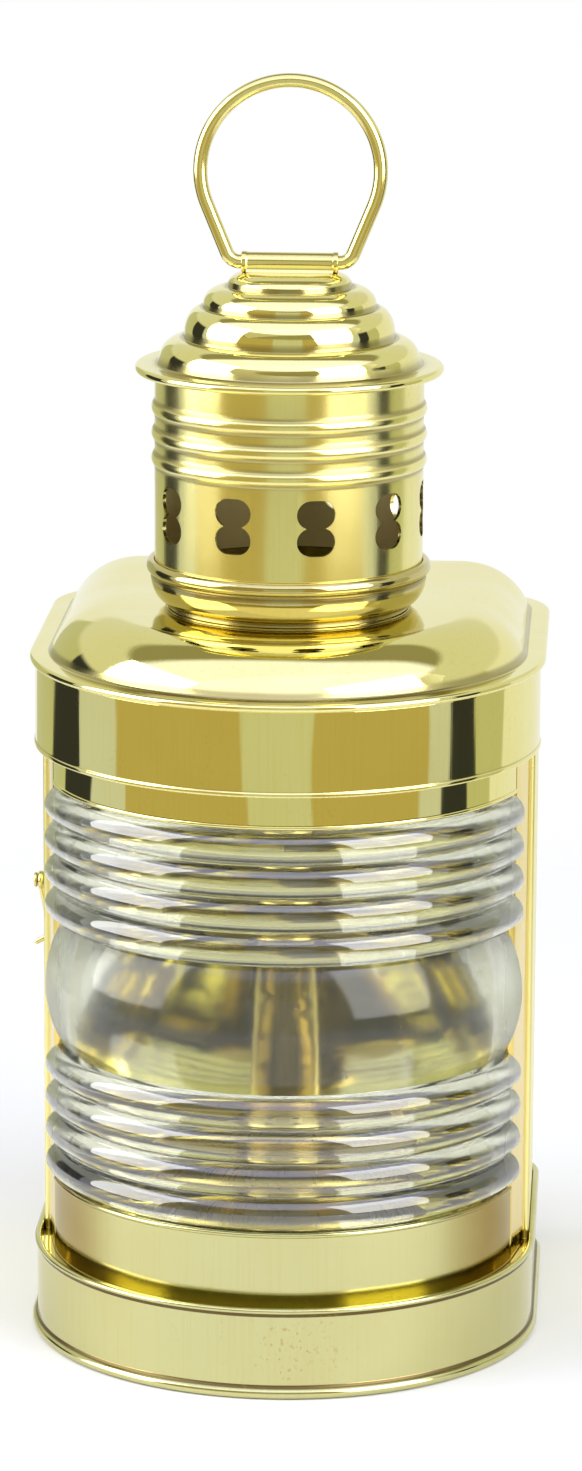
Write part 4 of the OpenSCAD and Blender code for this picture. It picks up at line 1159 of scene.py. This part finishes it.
def makeRaiser():
    r, b = raiser, burner
    lay = Quaternion((0, 1, 0), math.radians(90))
    end = r["knobX"] + r["knobThick"]
    thick, start = b["spindle"], -r["stub"]
    shaft = [(0, start), (thick - 0.3, start), (thick, start + 0.3), (thick, end - 0.3), (thick - 0.3, end),
             (0, end)]
    rod = revolve("wickSpindle", shaft, brassBurner, 32, across=False, sharp=40)
    settle(shifted(rod, 0, b["spindleY"], b["spindleZ"], lay), "wick_raiser", "wick_spindle")
    wheels = []
    for side in (-1, 1):
        line = []
        root, tip = r["wheel"] - 0.5, r["wheel"]
        for i in range(r["teeth"]):
            for k, radius in ((-0.32, root), (-0.06, tip), (0.06, tip), (0.32, root)):
                a = math.tau * (i + k) / r["teeth"]
                line.append((radius * math.cos(a), radius * math.sin(a)))
        low = side * r["pitch"] / 2 - r["wheelWidth"] / 2
        rings = [[(x, y, z) for x, y in line] for z in (low, low + r["wheelWidth"])]
        wheel = ringMesh("wheel", rings, brassBurner, False, True, True, None, 25)
        wheels.append(shifted(wheel, 0, b["spindleY"], b["spindleZ"], lay))
    settle(joinPieces("wickWheels", wheels), "wick_raiser", "wick_wheels")
    wide, high = r["knob"], r["knobThick"]
    face = rounded([(1.1, 0, 0.2), (2.4, 0, 0.2), (2.8, 0.35, 0.3), (4.2, 0.35, 0.3), (4.6, 0, 0.2),
                    (wide, 0, 0.4), (wide, high, 0.4), (4.6, high, 0.2), (4.2, high - 0.35, 0.3),
                    (2.8, high - 0.35, 0.3), (2.4, high, 0.2), (1.1, high, 0.2)], 3)
    rings = []
    for i in range(180):
        a = math.tau * i / 180
        dip = 0.55 * max(0.0, math.cos(a * r["grips"])) ** 3
        dipped = [(x - dip * max(0.0, (x - 4.6) / 1.4), z) for x, z in face]
        rings.append([(x * math.cos(a), x * math.sin(a), z) for x, z in dipped])
    knob = ringMesh("wickKnob", rings, brassBurner, True, True, False, None, 40)
    settle(shifted(knob, r["knobX"], b["spindleY"], b["spindleZ"], lay), "wick_raiser", "wick_knob")


makeFont()
makeBurner()
makeCone()
makeWick()
makeRaiser()
print("burner done")

# Stage, light and camera
stage = {"radius": 0.5, "fadeFrom": 0.30, "fadeTo": 0.48, "tone": (0.72, 0.72, 0.71, 1),
         "shade": (0.70, 0.70, 0.69, 1)}


def makeStage():  # a pale floor that fades into the pale background
    mesh = bpy.data.meshes.new("floor")
    edge = [(x * stage["radius"], y * stage["radius"], 0) for x, y in arc(0, 0, 1, 0, 360, 96)[:-1]]
    mesh.from_pydata(edge, [], [tuple(range(len(edge)))])
    floor = bpy.data.objects.new("floor", mesh)
    bpy.context.scene.collection.objects.link(floor)
    material, s = newMaterial("paleFloor")
    away = s.add("ShaderNodeVectorMath", {"operation": "LENGTH"}, {0: s.place()}, "Value")
    soft = s.noise(3, 2)
    tone = s.mix(soft, stage["tone"], stage["shade"])
    paint = s.add("ShaderNodeBsdfPrincipled", None,
                  {"Base Color": tone, "Roughness": 0.75, "Specular IOR Level": 0.2})
    clear = s.add("ShaderNodeBsdfTransparent")
    fade = away.above(stage["fadeFrom"], stage["fadeTo"])
    seen = s.add("ShaderNodeMixShader", None, {0: fade, 1: paint, 2: clear})
    s.add("ShaderNodeOutputMaterial", None, {"Surface": seen})
    mesh.materials.append(material)


# What the brass reflects, by the way it lies round from the front, in degrees to the left and to the right
room = {"back": (0.95, 0.97, 0.92, 1), "gold": (0.60, 0.62, 0.40, 1), "dark": (0.04, 0.042, 0.045, 1),
        "cream": (0.70, 0.74, 0.76, 1), "tan": (0.57, 0.47, 0.19, 1), "strip": (0.68, 0.70, 0.54, 1),
        "upper": (0.38, 0.35, 0.18, 1), "hazyBack": (0.80, 0.82, 0.70, 1),
        "ceiling": (1.28, 1.34, 1.8, 1), "overBack": (0.34, 0.32, 0.19, 1),
        "throughGlass": (0.72, 0.72, 0.58, 1), "seen": (1.0, 1.0, 1.0, 1)}
roomTurns = {"left": {"back": 160, "gold": 130.5, "dark": 107, "cream": 81.5, "tan": 16},
             "right": {"back": 118, "gold": 97.6, "dark": 82.8, "cream": 69.7, "tan": 16}}


def makeRoom():
    world = bpy.data.worlds.new("room")
    world.use_nodes = True
    bpy.context.scene.world = world
    s = Shader(world.node_tree)
    way = s.add("ShaderNodeTexCoord", out="Generated")
    split = s.add("ShaderNodeSeparateXYZ", None, {0: way}, "X").socket.node
    x, y, z = (Signal(s, split.outputs[i]) for i in range(3))
    flat = (1.0001 - z * z) ** 0.5
    front = y * -1 / flat
    halves = []
    for turns in roomTurns.values():
        tone = room["back"]
        for start, name in (("back", "gold"), ("gold", "dark"), ("dark", "cream"), ("cream", "tan"),
                            ("tan", "strip")):
            mark = turns[start]
            low, high = math.cos(math.radians(mark + 0.8)), math.cos(math.radians(mark - 0.8))
            tone = s.mix(front.above(low, high), tone, room[name])
        halves.append(tone)
    tone = s.mix(x.above(-0.01, 0.01), *halves)
    upper = s.mix(front.above(-0.1, 0.35), room["hazyBack"], room["upper"])
    tone = s.mix(z.above(0.26, 0.34), tone, upper)
    over = s.mix(y.above(0.08, 0.22), room["ceiling"], room["overBack"])
    tone = s.mix((z + front * 0.10).above(0.62, 0.68), tone, over)
    path = s.add("ShaderNodeLightPath", out="Is Camera Ray").socket.node
    look, through = Signal(s, path.outputs["Is Camera Ray"]), Signal(s, path.outputs["Transmission Depth"])
    tone = s.mix(through.above(0.0, 1.0) * 0.9, tone, room["throughGlass"])
    tone = s.mix(look, tone, room["seen"])
    glow = s.add("ShaderNodeBackground", None, {"Color": tone, "Strength": 1.0})
    s.add("ShaderNodeOutputWorld", None, {"Surface": glow})


# Softboxes: way round from the front, height angle, distance, width, height and brightness
lights = {"left": (-76, 22, 1.2, 1.00, 1.20, 4.2), "right": (52, 22, 1.2, 0.90, 1.20, 4.2),
          "top": (18, 52, 1.15, 3.6, 0.7, 0.3)}


def lookFrom(turn, rise):  # a way out from the middle, round from the front and up, in degrees
    a, e = math.radians(turn), math.radians(rise)
    return Vector((math.cos(e) * math.sin(a), -math.cos(e) * math.cos(a), math.sin(e)))


def makeLights():
    for name, (turn, rise, away, wide, high, glow) in lights.items():
        lamp = bpy.data.lights.new(name + "Softbox", "AREA")
        lamp.shape = "RECTANGLE"
        lamp.size = wide
        lamp.size_y = high
        lamp.energy = glow * math.pi * wide * high
        piece = bpy.data.objects.new(name + "Softbox", lamp)
        place = lookFrom(turn, rise) * away
        piece.location = place + Vector((0, 0, 0.13))
        piece.rotation_mode = "QUATERNION"
        piece.rotation_quaternion = (-place).to_track_quat("-Z", "Y")
        bpy.context.scene.collection.objects.link(piece)


photoView = {"azimuth": 3.327, "elevation": 14.205, "away": 1.2563, "focus": 5756.7, "long": 1471,
             "wide": 582, "target": (0, 0.007, 0.1), "pixel": (289.5, 869.6), "roll": 0.3}


def makeCamera():
    p = photoView
    a = math.radians(p["azimuth"])
    target = Vector(p["target"])
    place = target + lookFrom(p["azimuth"], p["elevation"]) * p["away"]
    right = Vector((math.cos(a), math.sin(a), 0))
    up = right.cross(target - place).normalized()
    scale = p["away"] / p["focus"]
    aim = target + right * (p["wide"] / 2 - p["pixel"][0]) * scale
    aim = aim + up * (p["pixel"][1] - p["long"] / 2) * scale
    lens = bpy.data.cameras.new("photoCamera")
    lens.sensor_width = 36
    lens.lens = p["focus"] / p["long"] * 36
    lens.clip_start = 0.05
    camera = bpy.data.objects.new("photoCamera", lens)
    bpy.context.scene.collection.objects.link(camera)
    camera.location = place
    camera.rotation_mode = "QUATERNION"
    turn = (aim - place).to_track_quat("-Z", "Y")
    camera.rotation_quaternion = turn @ Quaternion((0, 0, 1), math.radians(p["roll"]))
    bpy.context.scene.camera = camera
    bpy.context.scene.view_settings.view_transform = "Standard"


makeStage()
makeRoom()
makeLights()
makeCamera()
print("stage, light and camera done")
